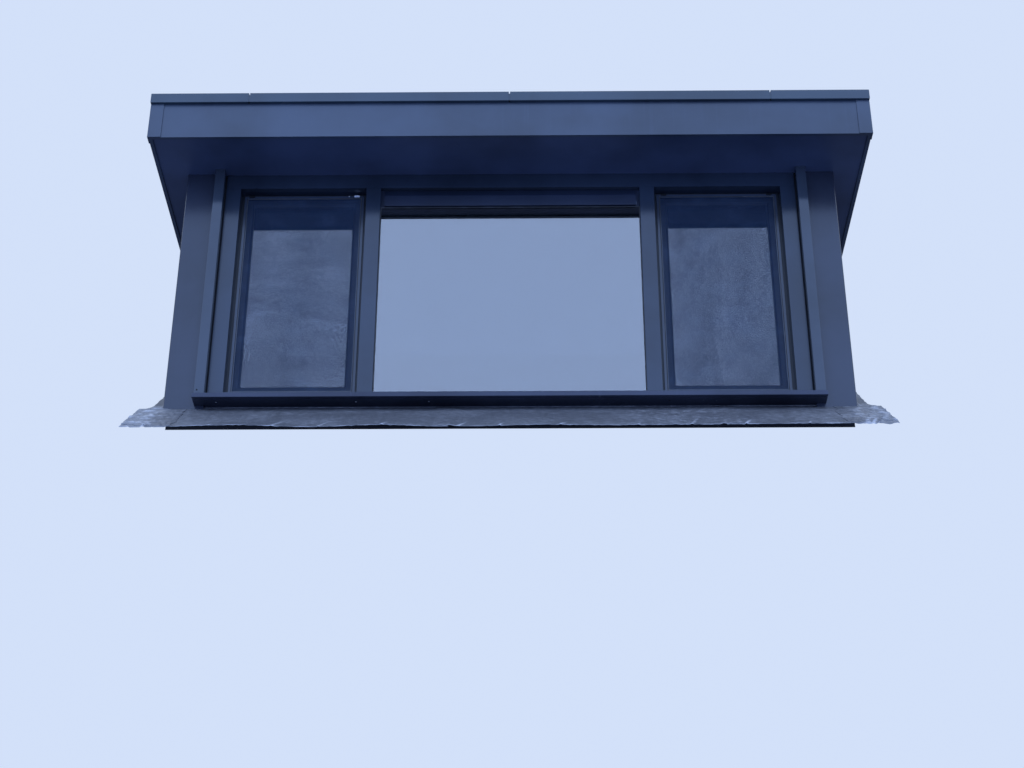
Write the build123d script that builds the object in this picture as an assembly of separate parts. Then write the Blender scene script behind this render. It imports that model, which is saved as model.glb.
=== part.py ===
from build123d import *
from math import cos, radians, sin, tan
import os

# A flat-roofed dormer window for a pitched roof, in millimetres.
# +X is to the right as seen from the street, +Y runs back into the roof, +Z is up.
# The origin is on the sloping underside of the front sole, at mid-width and mid-depth.

# The slope it stands on
ROOF_PITCH = 40.0          # degrees from level
COVER_DEPTH = 90.0         # roof boarding to the face of its covering, square to the slope

# Front wall
WALL_HEIGHT = 1390.0       # foot of the casings to the soffit
WALL_DEPTH = 140.0         # front sole and corner posts, front to back
CASING_THICKNESS = 20.0
CASING_WIDTH = 193.0       # front leg of a corner casing, part of it under the cover strip
CASING_RETURN = 150.0      # side leg of a corner casing, along the cheek
STRIP_GAP = 5.0            # between a cover strip and the side of the window frame
STRIP_WIDTH = 50.0         # cover strip over the inner edge of a casing
STRIP_DEPTH = 45.0
STRIP_WALL = 3.0
CASING_ROUNDING = 6.0      # outer corner of a casing
EDGE_ROUNDING = 2.0        # outer edges of strips, sill, frame posts and corner covers

# Window frame, one row of three lights
FRAME_WIDTH = 2900.0
FRAME_GAP = 10.0           # between the frame and the corner posts beside it
FRAME_DEPTH = 115.0
FRAME_FACE = 75.0          # face width of jambs, mullions and bottom rail
HEAD_FACE = 85.0
FRAME_SETBACK = 10.0       # frame face behind the casing face
FRAME_FOOT = 25.0          # underside of the frame above the foot of the casings
SIDE_LIGHT = 641.0         # width of the opening of each side light
REBATE = 20.0              # how far the rear part of a frame member steps back
FIXED_LIP = 25.0           # depth of the frame lip in front of the fixed glass
SASH_LIP = 60.0            # depth of the frame lip in front of a sash

# Sashes and glass
SASH_FACE = 76.0
SASH_DEPTH = 60.0
SASH_LAP = 12.0            # how far a sash laps behind the frame lip
SASH_CLEARANCE = 0.3       # sash front to the frame lip
SASH_FRONT_LIP = 14.0      # sash lip in front of its glass
SASH_BEVEL = 6.0           # front edge of a sash round its glass
GLASS_BITE = 12.0          # how far the glass reaches under a lip
PANE_THICKNESS = 4.0
PANE_GAP = 12.0            # between the two panes of a sealed unit
SPACER_WIDTH = 9.0         # spacer round the edge of a sealed unit
BEAD_FACE = 20.0
EDGE_PLAY = 3.0            # between a glass edge and its rebate
HANDLE_LENGTH = 125.0
HANDLE_WIDTH = 18.0
HANDLE_THICKNESS = 12.0
HANDLE_STANDOFF = 30.0     # lever in front of its plate
HANDLE_INSET = 25.0        # middle of the plate from the outer edge of the sash
HANDLE_ROUNDING = 8.0      # ends of the lever
PLATE_WIDTH = 30.0
PLATE_HEIGHT = 70.0
PLATE_THICKNESS = 8.0
PLATE_ROUNDING = 10.0

# Insect screens in front of the sashes
SCREEN_MARGIN = 14.0       # clear gap between the frame reveal and the screen
SCREEN_BAR = 20.0
SCREEN_DEPTH = 10.0
SCREEN_SETBACK = 50.0      # screen face behind the frame face
SCREEN_CLOTH = 0.6

# Ventilation grille over the fixed glass
VENT_HEIGHT = 105.0
VENT_DEPTH = 48.0          # body of the grille, front to back
VENT_SETBACK = 10.0        # face of the hood behind the frame face
VENT_HOOD_MARGIN = 18.0    # hood stops short of the opening at each end
VENT_WALL = 2.5
VENT_KNEE = 40.0           # upper part of the hood, which slopes back to the body
VENT_ROUNDING = 20.0       # where the hood turns from its slope to its upright face
SLOT_LENGTH = 60.0
SLOT_HEIGHT = 5.0
SLOT_PITCH = 74.0
SLOT_ROWS = 4              # rows of slots on the room side

# Sill and window board
SILL_PROJECTION = 83.0     # in front of the casing face
SILL_FOOT = 20.0           # underside above the foot of the casings
SILL_FRONT_EDGE = 24.0
SILL_LAP = 30.0            # how far the sill covers the foot of the window frame
DRIP_WIDTH = 8.0           # drip groove under the nose of the sill
BOARD_THICKNESS = 18.0
BOARD_DEPTH = 65.0

# Cheeks, from the outside in
CLADDING_THICKNESS = 18.0
BATTEN_THICKNESS = 18.0
BATTEN_WIDTH = 45.0
BATTEN_SPACING = 450.0
CORE_THICKNESS = 100.0
LINING_THICKNESS = 12.0
SOLE_THICKNESS = 60.0      # cheek sole, square to the slope
CLADDING_CLEARANCE = 15.0  # above the roof covering

# Flat roof
FRONT_OVERHANG = 320.0     # fascia face in front of the casing face
SIDE_OVERHANG = 150.0      # fascia face outside the casing face
FASCIA_HEIGHT = 200.0
FASCIA_THICKNESS = 18.0
FASCIA_DROP = 8.0          # lower edge of the fascia below the soffit
CORNER_WIDTH = 62.0        # cover at each front corner of the fascia, front leg
CORNER_RETURN = 50.0       # its side leg
CORNER_THICKNESS = 5.0
JOIST_HEIGHT = 160.0
JOIST_WIDTH = 45.0
JOIST_COUNT = 8
RIM_THICKNESS = 45.0
HEADER_THICKNESS = 45.0    # rear header at its thin lower edge
DECK_THICKNESS = 18.0
KERB_WIDTH = 60.0
MEMBRANE_THICKNESS = 3.0
TRIM_HEIGHT = 60.0
TRIM_FLANGE = 80.0
TRIM_WALL = 3.0
TRIM_PROUD = 18.0          # trim face in front of the fascia face
TRIM_SIDE_PROUD = 6.0      # the same at the sides
TRIM_LAP = 15.0            # how far the trim's return reaches over the fascia
TRIM_ROUNDING = 8.0        # along the top of the trim face
TRIM_BAY = 1312.0          # between the joints of the front trim, from mid-width outwards
TRIM_JOINT = 6.0           # gap between two lengths
SPLICE_WIDTH = 60.0        # plate behind each joint
SPLICE_THICKNESS = 1.5
SPLICE_DROP = 15.0         # top of the plate below the top of the trim
REAR_FLAP = 250.0          # membrane laid up the roof slope behind the dormer

# Lead work
LEAD_THICKNESS = 2.2
APRON_LENGTH = 476.0       # down the slope from the front wall
LEAD_SIDE_REACH = 120.0    # beyond the casings
LEAD_NARROW_REACH = 60.0   # the same further up, where the roof covering closes over the lead
LEAD_NARROW_START = 60.0   # level distance from the casing face to there
LEAD_UPSTAND = 75.0
FLASHING_LAP = 90.0        # side flashing over the top of the apron

# Heights and places that follow from the sizes above
SLOPE = tan(radians(ROOF_PITCH))
COSINE = cos(radians(ROOF_PITCH))
SINE = sin(radians(ROOF_PITCH))
HALF_FRAME = FRAME_WIDTH / 2
STRIP_INSIDE = HALF_FRAME + STRIP_GAP
STRIP_OUTSIDE = STRIP_INSIDE + STRIP_WIDTH
CASING_INSIDE = HALF_FRAME + FRAME_GAP
HALF_BODY = CASING_INSIDE + CASING_WIDTH
HALF_ROOF = HALF_BODY + SIDE_OVERHANG
WALL_FRONT = -WALL_DEPTH / 2
WALL_BACK = WALL_DEPTH / 2
CASING_FACE = WALL_FRONT - CASING_THICKNESS
FASCIA_FACE = CASING_FACE - FRONT_OVERHANG
REACH = 2 * (FRAME_WIDTH + WALL_HEIGHT)


def seat(y):
    """Height of the plane that the dormer stands on."""
    return y * SLOPE


def cover(y, above=0.0):
    """Height of the face of the roof covering, or of a plane square above it."""
    return seat(y) + (COVER_DEPTH + above) / COSINE


def seat_back(z):
    """Depth at which the seat plane reaches height z."""
    return z / SLOPE


def cover_back(z):
    """Depth at which the roof covering reaches height z."""
    return (z - COVER_DEPTH / COSINE) / SLOPE


FOOT = cover(CASING_FACE)
SOFFIT = FOOT + WALL_HEIGHT
FRAME_BOTTOM = FOOT + FRAME_FOOT
FRAME_FRONT = CASING_FACE + FRAME_SETBACK
FRAME_BACK = FRAME_FRONT + FRAME_DEPTH
LIGHT_BOTTOM = FRAME_BOTTOM + FRAME_FACE
LIGHT_TOP = SOFFIT - HEAD_FACE
JOIST_BOTTOM = SOFFIT + LINING_THICKNESS
JOIST_TOP = JOIST_BOTTOM + JOIST_HEIGHT
DECK_TOP = JOIST_TOP + DECK_THICKNESS
FASCIA_TOP = SOFFIT + FASCIA_HEIGHT
EDGE_TOP = FASCIA_TOP + TRIM_HEIGHT
HEADER_FRONT = seat_back(JOIST_BOTTOM) - HEADER_THICKNESS
CENTRE_EDGE = HALF_FRAME - 2 * FRAME_FACE - SIDE_LIGHT
CLADDING_INSIDE = HALF_BODY - CLADDING_THICKNESS
CORE_OUTSIDE = CLADDING_INSIDE - BATTEN_THICKNESS
CORE_INSIDE = CORE_OUTSIDE - CORE_THICKNESS
LINING_INSIDE = CORE_INSIDE - LINING_THICKNESS

parts = {}


def block(x_low, x_high, y_low, y_high, z_low, z_high):
    """Rectangular piece between two corners."""
    size = (x_high - x_low, y_high - y_low, z_high - z_low)
    middle = ((x_low + x_high) / 2, (y_low + y_high) / 2, (z_low + z_high) / 2)
    return Pos(*middle) * Box(*size)


def carried(points, rounding, length, direction):
    """Closed outline carried along a direction, each corner rounded by its radius in the list."""
    if rounding:
        edge = FilletPolyline(*points, radius=rounding, close=True)
    else:
        edge = Polyline(*points, close=True)
    return extrude(make_face(edge), length, dir=direction)


def along_x(outline, x_low, x_high, rounding=None):
    """Side outline of (y, z) points carried across the width."""
    return carried([(x_low, y, z) for y, z in outline], rounding, x_high - x_low, (1, 0, 0))


def along_y(outline, y_low, y_high, rounding=None):
    """Front outline of (x, z) points carried back into the roof."""
    return carried([(x, y_low, z) for x, z in outline], rounding, y_high - y_low, (0, 1, 0))


def along_z(outline, z_low, z_high, rounding=None):
    """Plan outline of (x, y) points carried upwards."""
    return carried([(x, y, z_low) for x, y in outline], rounding, z_high - z_low, (0, 0, 1))


def surround(x_low, x_high, y_low, y_high, z_low, z_high, face):
    """Rectangular ring in the plane of the window, with bars of one face width."""
    outside = block(x_low, x_high, y_low, y_high, z_low, z_high)
    inside = block(x_low + face, x_high - face, y_low, y_high, z_low + face, z_high - face)
    return outside - inside


def flared(x_low, x_high, y_front, z_low, z_high, flare):
    """Cut that bevels the front edges of an opening, wider at the front by the flare all round."""
    rims = []
    for y, grow in ((y_front, flare), (y_front + flare, 0.0)):
        corners = [(x_low - grow, y, z_low - grow), (x_high + grow, y, z_low - grow),
                   (x_high + grow, y, z_high + grow), (x_low - grow, y, z_high + grow)]
        rims.append(make_face(Polyline(*corners, close=True)))
    return loft(rims, ruled=True)


def below(line, shift=0.0):
    """Everything under a sloping plane, for cutting a foot to the roof."""
    corners = [(-REACH, line(-REACH) + shift), (REACH, line(REACH) + shift), (REACH, -2 * REACH)]
    return along_x(corners + [(-REACH, -2 * REACH)], -REACH, REACH)


def both_sides(name, right_piece):
    """Store a piece of the right-hand side and its mirror image, each under its own name."""
    parts["right_" + name] = right_piece
    parts["left_" + name] = mirror(right_piece, about=Plane.YZ)


def pair(name, *right_pieces):
    """Store like pieces of the right-hand side and their mirror images together."""
    left_pieces = [mirror(piece, about=Plane.YZ) for piece in right_pieces]
    parts[name] = Compound(children=list(right_pieces) + left_pieces)


# Soles and posts: the front sole is planed to the roof pitch underneath and level on top.
parts["front_sole"] = along_x(
    [(WALL_FRONT, seat(WALL_FRONT)), (WALL_BACK, seat(WALL_BACK)),
     (WALL_BACK, FRAME_BOTTOM), (WALL_FRONT, FRAME_BOTTOM)],
    -CLADDING_INSIDE, CLADDING_INSIDE)
pair("corner_posts", block(CASING_INSIDE, CLADDING_INSIDE, WALL_FRONT, WALL_BACK,
                           FRAME_BOTTOM, JOIST_BOTTOM))

sole_height = SOLE_THICKNESS / COSINE
pair("cheek_soles", along_x(
    [(WALL_BACK, seat(WALL_BACK)), (seat_back(JOIST_BOTTOM), JOIST_BOTTOM),
     (seat_back(JOIST_BOTTOM - sole_height), JOIST_BOTTOM), (WALL_BACK, seat(WALL_BACK) + sole_height)],
    CORE_INSIDE, CORE_OUTSIDE))

# Cheeks: insulated core, upright battens, cladding outside and a lining inside.
core_end = seat_back(JOIST_BOTTOM - sole_height)
both_sides("cheek_core", along_x(
    [(WALL_BACK, seat(WALL_BACK) + sole_height), (core_end, JOIST_BOTTOM), (WALL_BACK, JOIST_BOTTOM)],
    CORE_INSIDE, CORE_OUTSIDE))


def batten(y_low):
    """Upright batten, cut off above the flashing along the roof."""
    upright = block(CORE_OUTSIDE, CLADDING_INSIDE, y_low, y_low + BATTEN_WIDTH,
                    FOOT, JOIST_BOTTOM)
    return upright - below(cover, LEAD_UPSTAND / COSINE)


batten_end = cover_back(SOFFIT - LEAD_UPSTAND / COSINE) - 2 * BATTEN_WIDTH
batten_run = batten_end - WALL_BACK
batten_count = int(batten_run / BATTEN_SPACING) + 2
batten_step = batten_run / (batten_count - 1)
pair("cheek_battens", *[batten(WALL_BACK + index * batten_step) for index in range(batten_count)])

cladding_front = WALL_FRONT + CASING_RETURN
both_sides("cheek_cladding", block(
    CLADDING_INSIDE, HALF_BODY, cladding_front, cover_back(SOFFIT), FOOT, SOFFIT)
    - below(cover, CLADDING_CLEARANCE))

lining_plan = [(CORE_INSIDE, seat_back(SOFFIT)), (LINING_INSIDE, seat_back(SOFFIT)),
               (LINING_INSIDE, WALL_BACK + LINING_THICKNESS),
               (CASING_INSIDE, WALL_BACK + LINING_THICKNESS),
               (CASING_INSIDE, WALL_BACK), (CORE_INSIDE, WALL_BACK)]
both_sides("cheek_lining", along_z(lining_plan, FRAME_BOTTOM, SOFFIT) - below(seat))

# Corner casings, cut to the slope of the roof at the foot of their side legs.
casing_plan = [(CASING_INSIDE, CASING_FACE), (HALF_BODY, CASING_FACE), (HALF_BODY, cladding_front),
               (CLADDING_INSIDE, cladding_front), (CLADDING_INSIDE, WALL_FRONT),
               (CASING_INSIDE, WALL_FRONT)]
casing_foot = [(CASING_FACE, FOOT), (REACH, cover(REACH)), (REACH, -REACH), (CASING_FACE, -REACH)]
casing_rounding = [0, CASING_ROUNDING, 0, 0, 0, 0]
both_sides("casing", along_z(casing_plan, FOOT, SOFFIT, casing_rounding)
           - along_x(casing_foot, 0, REACH))

# Sill with a sloping top and a drip groove under its nose. Between the casings it runs back
# to cover the foot of the window frame, and a thin tongue passes under the frame.
sill_bottom = FOOT + SILL_FOOT
sill_nose = CASING_FACE - SILL_PROJECTION
sill_top = FRAME_BOTTOM + SILL_LAP
tongue_back = WALL_FRONT - LEAD_THICKNESS
sill_front = along_x(
    [(sill_nose, sill_bottom), (CASING_FACE, sill_bottom), (CASING_FACE, sill_top),
     (sill_nose, sill_bottom + SILL_FRONT_EDGE)],
    -STRIP_OUTSIDE, STRIP_OUTSIDE, [EDGE_ROUNDING, 0, 0, EDGE_ROUNDING])
sill_groove = block(-REACH, REACH, sill_nose + 2 * DRIP_WIDTH, sill_nose + 3 * DRIP_WIDTH,
                    sill_bottom, sill_bottom + DRIP_WIDTH / 2)
sill_rear = along_x(
    [(CASING_FACE, sill_bottom), (tongue_back, sill_bottom), (tongue_back, FRAME_BOTTOM),
     (FRAME_FRONT, FRAME_BOTTOM), (FRAME_FRONT, sill_top), (CASING_FACE, sill_top)],
    -CASING_INSIDE, CASING_INSIDE)
parts["front_sill"] = sill_front - sill_groove + sill_rear

# Hollow cover strips, open at the back, that stand on the ends of the sill.
strip_face = CASING_FACE - STRIP_DEPTH
strip_plan = [(STRIP_INSIDE, strip_face), (STRIP_OUTSIDE, strip_face), (STRIP_OUTSIDE, CASING_FACE),
              (STRIP_OUTSIDE - STRIP_WALL, CASING_FACE),
              (STRIP_OUTSIDE - STRIP_WALL, strip_face + STRIP_WALL),
              (STRIP_INSIDE + STRIP_WALL, strip_face + STRIP_WALL),
              (STRIP_INSIDE + STRIP_WALL, CASING_FACE), (STRIP_INSIDE, CASING_FACE)]
strip_rounding = [EDGE_ROUNDING, EDGE_ROUNDING, 0, 0, 0, 0, 0, 0]
both_sides("cover_strip", along_z(strip_plan, sill_bottom, SOFFIT, strip_rounding) - sill_front)

# Board inside the room, on the rear of the front sole.
parts["window_board"] = block(-CASING_INSIDE, CASING_INSIDE, FRAME_BACK, FRAME_BACK + BOARD_DEPTH,
                              FRAME_BOTTOM, FRAME_BOTTOM + BOARD_THICKNESS)

# Window frame: every member has a deep lip in front and steps back behind it for glass or sash.
fixed_step = FRAME_FRONT + FIXED_LIP
sash_step = FRAME_FRONT + SASH_LIP
both_sides("jamb", along_z(
    [(HALF_FRAME - FRAME_FACE, FRAME_FRONT), (HALF_FRAME, FRAME_FRONT), (HALF_FRAME, FRAME_BACK),
     (HALF_FRAME - FRAME_FACE + REBATE, FRAME_BACK), (HALF_FRAME - FRAME_FACE + REBATE, sash_step),
     (HALF_FRAME - FRAME_FACE, sash_step)],
    LIGHT_BOTTOM, LIGHT_TOP, [EDGE_ROUNDING, 0, 0, 0, 0, 0]))
mullion_outside = CENTRE_EDGE + FRAME_FACE
both_sides("mullion", along_z(
    [(CENTRE_EDGE, FRAME_FRONT), (mullion_outside, FRAME_FRONT), (mullion_outside, sash_step),
     (mullion_outside - REBATE, sash_step), (mullion_outside - REBATE, FRAME_BACK),
     (CENTRE_EDGE + REBATE, FRAME_BACK), (CENTRE_EDGE + REBATE, fixed_step),
     (CENTRE_EDGE, fixed_step)],
    LIGHT_BOTTOM, LIGHT_TOP, [EDGE_ROUNDING, EDGE_ROUNDING, 0, 0, 0, 0, 0, 0]))


def rail(z_outside, z_light):
    """Head or bottom rail: full section at the posts, stepped back in each light."""
    inward = 1 if z_light > z_outside else -1
    z_low, z_high = min(z_outside, z_light), max(z_outside, z_light)
    bar = block(-HALF_FRAME, HALF_FRAME, FRAME_FRONT, FRAME_BACK, z_low, z_high)
    z_step = z_light - inward * REBATE
    step_low, step_high = min(z_step, z_light), max(z_step, z_light)
    bar -= block(-CENTRE_EDGE - REBATE, CENTRE_EDGE + REBATE, fixed_step, FRAME_BACK,
                 step_low, step_high)
    for sign in (-1, 1):
        ends = sorted((sign * (mullion_outside - REBATE), sign * (HALF_FRAME - FRAME_FACE + REBATE)))
        bar -= block(ends[0], ends[1], sash_step, FRAME_BACK, step_low, step_high)
    return bar


parts["frame_head"] = rail(SOFFIT, LIGHT_TOP)
parts["frame_bottom_rail"] = rail(FRAME_BOTTOM, LIGHT_BOTTOM)

glass_depth = 2 * PANE_THICKNESS + PANE_GAP


def sealed_unit(x_low, x_high, y_front, z_low, z_high):
    """Two panes, and the spacer that holds them apart all round."""
    y_spacer = y_front + PANE_THICKNESS
    y_rear = y_spacer + PANE_GAP
    panes = [block(x_low, x_high, y_front, y_spacer, z_low, z_high),
             block(x_low, x_high, y_rear, y_rear + PANE_THICKNESS, z_low, z_high)]
    spacer = surround(x_low, x_high, y_spacer, y_rear, z_low, z_high, SPACER_WIDTH)
    return Compound(children=panes), spacer


# Side sashes: a ring with a bevelled lip in front of its glass and glazing beads behind.
sash_front = sash_step + SASH_CLEARANCE
sash_back = sash_front + SASH_DEPTH
sash_glass = sash_front + SASH_FRONT_LIP
sash_x = (mullion_outside - SASH_LAP, HALF_FRAME - FRAME_FACE + SASH_LAP)
sash_z = (LIGHT_BOTTOM - SASH_LAP, LIGHT_TOP + SASH_LAP)
pane_inset = SASH_FACE - GLASS_BITE
bead_inset = pane_inset - EDGE_PLAY
sash_ring = surround(*sash_x, sash_front, sash_glass, *sash_z, SASH_FACE)
sash_ring -= flared(sash_x[0] + SASH_FACE, sash_x[1] - SASH_FACE, sash_front,
                    sash_z[0] + SASH_FACE, sash_z[1] - SASH_FACE, SASH_BEVEL)
sash_ring += surround(*sash_x, sash_glass, sash_back, *sash_z, bead_inset)
sash_ring += surround(
    sash_x[0] + bead_inset, sash_x[1] - bead_inset, sash_glass + glass_depth, sash_back,
    sash_z[0] + bead_inset, sash_z[1] - bead_inset, BEAD_FACE)
both_sides("sash", sash_ring)
side_panes, side_spacer = sealed_unit(
    sash_x[0] + pane_inset, sash_x[1] - pane_inset, sash_glass,
    sash_z[0] + pane_inset, sash_z[1] - pane_inset)
both_sides("glass", side_panes)

# Lever handle on the inside of each sash, at mid-height on the stile next to the mullion.
handle_x = sash_x[0] + HANDLE_INSET
handle_z = (LIGHT_BOTTOM + LIGHT_TOP) / 2
plate_face = sash_back + PLATE_THICKNESS
lever_back = plate_face + HANDLE_STANDOFF
neck_radius = HANDLE_WIDTH / 2
plate = block(handle_x - PLATE_WIDTH / 2, handle_x + PLATE_WIDTH / 2, sash_back, plate_face,
              handle_z - PLATE_HEIGHT / 2, handle_z + PLATE_HEIGHT / 2)
plate = fillet(plate.edges().filter_by(Axis.Y), min(PLATE_ROUNDING, PLATE_WIDTH / 2 - EDGE_PLAY))
neck = (Pos(handle_x, plate_face + HANDLE_STANDOFF / 2, handle_z) * Rot(90, 0, 0)
        * Cylinder(neck_radius, HANDLE_STANDOFF))
lever = block(handle_x - neck_radius, handle_x + neck_radius, lever_back,
              lever_back + HANDLE_THICKNESS, handle_z + neck_radius - HANDLE_LENGTH,
              handle_z + neck_radius)
lever = fillet(lever.edges().filter_by(Axis.Y), min(HANDLE_ROUNDING, neck_radius - EDGE_PLAY / 3))
pair("sash_handles", plate + neck + lever)

# Centre light: fixed glass under the ventilation grille, held by beads from inside.
vent_bottom = LIGHT_TOP - VENT_HEIGHT
glass_x = CENTRE_EDGE + GLASS_BITE
glass_back = fixed_step + glass_depth
parts["centre_glass"], centre_spacer = sealed_unit(
    -glass_x, glass_x, fixed_step, LIGHT_BOTTOM - GLASS_BITE, vent_bottom)
parts["glazing_spacers"] = Compound(
    children=[centre_spacer, side_spacer, mirror(side_spacer, about=Plane.YZ)])
bead_x = CENTRE_EDGE + GLASS_BITE + EDGE_PLAY
parts["centre_glazing_bead"] = surround(
    -bead_x, bead_x, glass_back, glass_back + BEAD_FACE,
    LIGHT_BOTTOM - GLASS_BITE - EDGE_PLAY, vent_bottom, BEAD_FACE)

# Ventilation grille over the glass: a hollow slotted body in the rebates of the frame, and in
# front of it a hood that slopes forward, turns down and is open underneath.
vent_x = CENTRE_EDGE + REBATE - EDGE_PLAY
vent_back = fixed_step + VENT_DEPTH
vent_top = LIGHT_TOP + REBATE - EDGE_PLAY
vent_grille = block(-vent_x, vent_x, fixed_step, vent_back, vent_bottom, vent_top)
vent_grille -= block(-vent_x + VENT_WALL, vent_x - VENT_WALL, fixed_step + VENT_WALL,
                     vent_back - VENT_WALL, vent_bottom + VENT_WALL, vent_top - VENT_WALL)
hood_x = CENTRE_EDGE - VENT_HOOD_MARGIN
hood_face = FRAME_FRONT + VENT_SETBACK
slot_count = int(2 * hood_x / SLOT_PITCH)
slot_middle = (vent_bottom + LIGHT_TOP) / 2


def slots(y_low, rows):
    """Rows of slots through a wall of the grille."""
    return [block(x - SLOT_LENGTH / 2, x + SLOT_LENGTH / 2, y_low, y_low + VENT_WALL,
                  z - SLOT_HEIGHT / 2, z + SLOT_HEIGHT / 2)
            for x in [(column - (slot_count - 1) / 2) * SLOT_PITCH for column in range(slot_count)]
            for z in [slot_middle + (row - (rows - 1) / 2) * 2 * SLOT_HEIGHT for row in range(rows)]]


vent_grille -= slots(vent_back - VENT_WALL, SLOT_ROWS)
vent_grille -= slots(fixed_step, 1)
hood_knee = LIGHT_TOP - VENT_KNEE
hood = along_x([(fixed_step, LIGHT_TOP), (hood_face, hood_knee), (hood_face, vent_bottom),
                (fixed_step, vent_bottom)], -hood_x, hood_x, [0, VENT_ROUNDING, 0, 0])
hood -= along_x(
    [(fixed_step, LIGHT_TOP - 2 * VENT_WALL), (hood_face + VENT_WALL, hood_knee - VENT_WALL),
     (hood_face + VENT_WALL, vent_bottom), (fixed_step, vent_bottom)],
    VENT_WALL - hood_x, hood_x - VENT_WALL, [0, VENT_ROUNDING - VENT_WALL, 0, 0])
parts["vent_grille"] = vent_grille + hood

# Insect screens: an aluminium ring with its cloth, held off the reveal by four clips.
screen_front = FRAME_FRONT + SCREEN_SETBACK
screen_x = (mullion_outside + SCREEN_MARGIN, HALF_FRAME - FRAME_FACE - SCREEN_MARGIN)
screen_z = (LIGHT_BOTTOM + SCREEN_MARGIN, LIGHT_TOP - SCREEN_MARGIN)
both_sides("screen_frame", surround(
    *screen_x, screen_front, screen_front + SCREEN_DEPTH, *screen_z, SCREEN_BAR))
cloth_middle = screen_front + SCREEN_DEPTH / 2
both_sides("screen_cloth", block(
    screen_x[0] + SCREEN_BAR, screen_x[1] - SCREEN_BAR,
    cloth_middle - SCREEN_CLOTH / 2, cloth_middle + SCREEN_CLOTH / 2,
    screen_z[0] + SCREEN_BAR, screen_z[1] - SCREEN_BAR))

# Flat roof: rim and joists, rear header cut to the slope, deck, kerb and membrane.
rim_face = FASCIA_FACE + FASCIA_THICKNESS
rim_side = HALF_ROOF - FASCIA_THICKNESS
rim_plan = [(-rim_side, rim_face), (rim_side, rim_face), (rim_side, REACH),
            (rim_side - RIM_THICKNESS, REACH), (rim_side - RIM_THICKNESS, rim_face + RIM_THICKNESS),
            (RIM_THICKNESS - rim_side, rim_face + RIM_THICKNESS), (RIM_THICKNESS - rim_side, REACH),
            (-rim_side, REACH)]
parts["roof_rim"] = along_z(rim_plan, JOIST_BOTTOM, JOIST_TOP) - below(seat)

header_side = rim_side - RIM_THICKNESS
parts["rear_header"] = along_x(
    [(HEADER_FRONT, JOIST_BOTTOM), (HEADER_FRONT, JOIST_TOP), (seat_back(JOIST_TOP), JOIST_TOP),
     (seat_back(JOIST_BOTTOM), JOIST_BOTTOM)], -header_side, header_side)

joist_edge = CORE_OUTSIDE - JOIST_WIDTH
joist_step = 2 * joist_edge / (JOIST_COUNT - 1)
parts["roof_joists"] = Compound(children=[
    block(-joist_edge + index * joist_step - JOIST_WIDTH / 2,
          -joist_edge + index * joist_step + JOIST_WIDTH / 2,
          rim_face + RIM_THICKNESS, HEADER_FRONT, JOIST_BOTTOM, JOIST_TOP)
    for index in range(JOIST_COUNT)])

parts["ceiling_lining"] = block(-CORE_INSIDE, CORE_INSIDE, WALL_BACK, seat_back(JOIST_BOTTOM),
                                SOFFIT, JOIST_BOTTOM) - below(seat)

parts["roof_deck"] = block(-rim_side, rim_side, rim_face, REACH, JOIST_TOP, DECK_TOP) - below(seat)

kerb_back = cover_back(EDGE_TOP)
kerb_plan = [(-rim_side, rim_face), (rim_side, rim_face), (rim_side, kerb_back),
             (rim_side - KERB_WIDTH, kerb_back), (rim_side - KERB_WIDTH, rim_face + KERB_WIDTH),
             (KERB_WIDTH - rim_side, rim_face + KERB_WIDTH), (KERB_WIDTH - rim_side, kerb_back),
             (-rim_side, kerb_back)]
kerb_top = EDGE_TOP - TRIM_WALL - MEMBRANE_THICKNESS
parts["roof_kerb"] = along_z(kerb_plan, DECK_TOP, kerb_top) - below(cover)
kerb_wrap = [(x - MEMBRANE_THICKNESS * inward, y + MEMBRANE_THICKNESS * back)
             for (x, y), inward, back in zip(
                 kerb_plan, (0, 0, 0, 1, 1, -1, -1, 0), (0, 0, 0, 0, 1, 1, 0, 0))]

deck_edge = seat_back(DECK_TOP)
flap_top = (deck_edge + REAR_FLAP * COSINE, DECK_TOP + REAR_FLAP * SINE)
flap_skin = (flap_top[0] - MEMBRANE_THICKNESS * SINE, flap_top[1] + MEMBRANE_THICKNESS * COSINE)
membrane_top = DECK_TOP + MEMBRANE_THICKNESS
knee = (seat_back(membrane_top - MEMBRANE_THICKNESS / COSINE), membrane_top)
sheet = along_x([(rim_face, DECK_TOP), (deck_edge, DECK_TOP), flap_top, flap_skin, knee,
                 (rim_face, membrane_top)], -rim_side, rim_side)
wrap = along_z(kerb_wrap, DECK_TOP, kerb_top + MEMBRANE_THICKNESS) - below(cover)
parts["roof_membrane"] = sheet + wrap - parts["roof_kerb"]

# Roof edge: fascia boards and trims mitred at the front corners, corner covers and soffit.


def mitred(out_x, out_y, width, front):
    """Plan of one run of the roof edge, mitred where the front meets a side."""
    if front:
        return [(-out_x, out_y), (out_x, out_y), (out_x - width, out_y + width),
                (width - out_x, out_y + width)]
    return [(out_x, out_y), (out_x, REACH), (out_x - width, REACH), (out_x - width, out_y + width)]


def fascia(front):
    """Board on edge that hides the rim."""
    plan = mitred(HALF_ROOF, FASCIA_FACE, FASCIA_THICKNESS, front)
    return along_z(plan, SOFFIT - FASCIA_DROP, FASCIA_TOP) - below(cover)


trim_x = HALF_ROOF + TRIM_SIDE_PROUD
trim_face = FASCIA_FACE - TRIM_PROUD
trim_rounding = [TRIM_WALL / 2, TRIM_ROUNDING, 0, 0, TRIM_ROUNDING - TRIM_WALL, 0, 0, 0]


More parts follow.
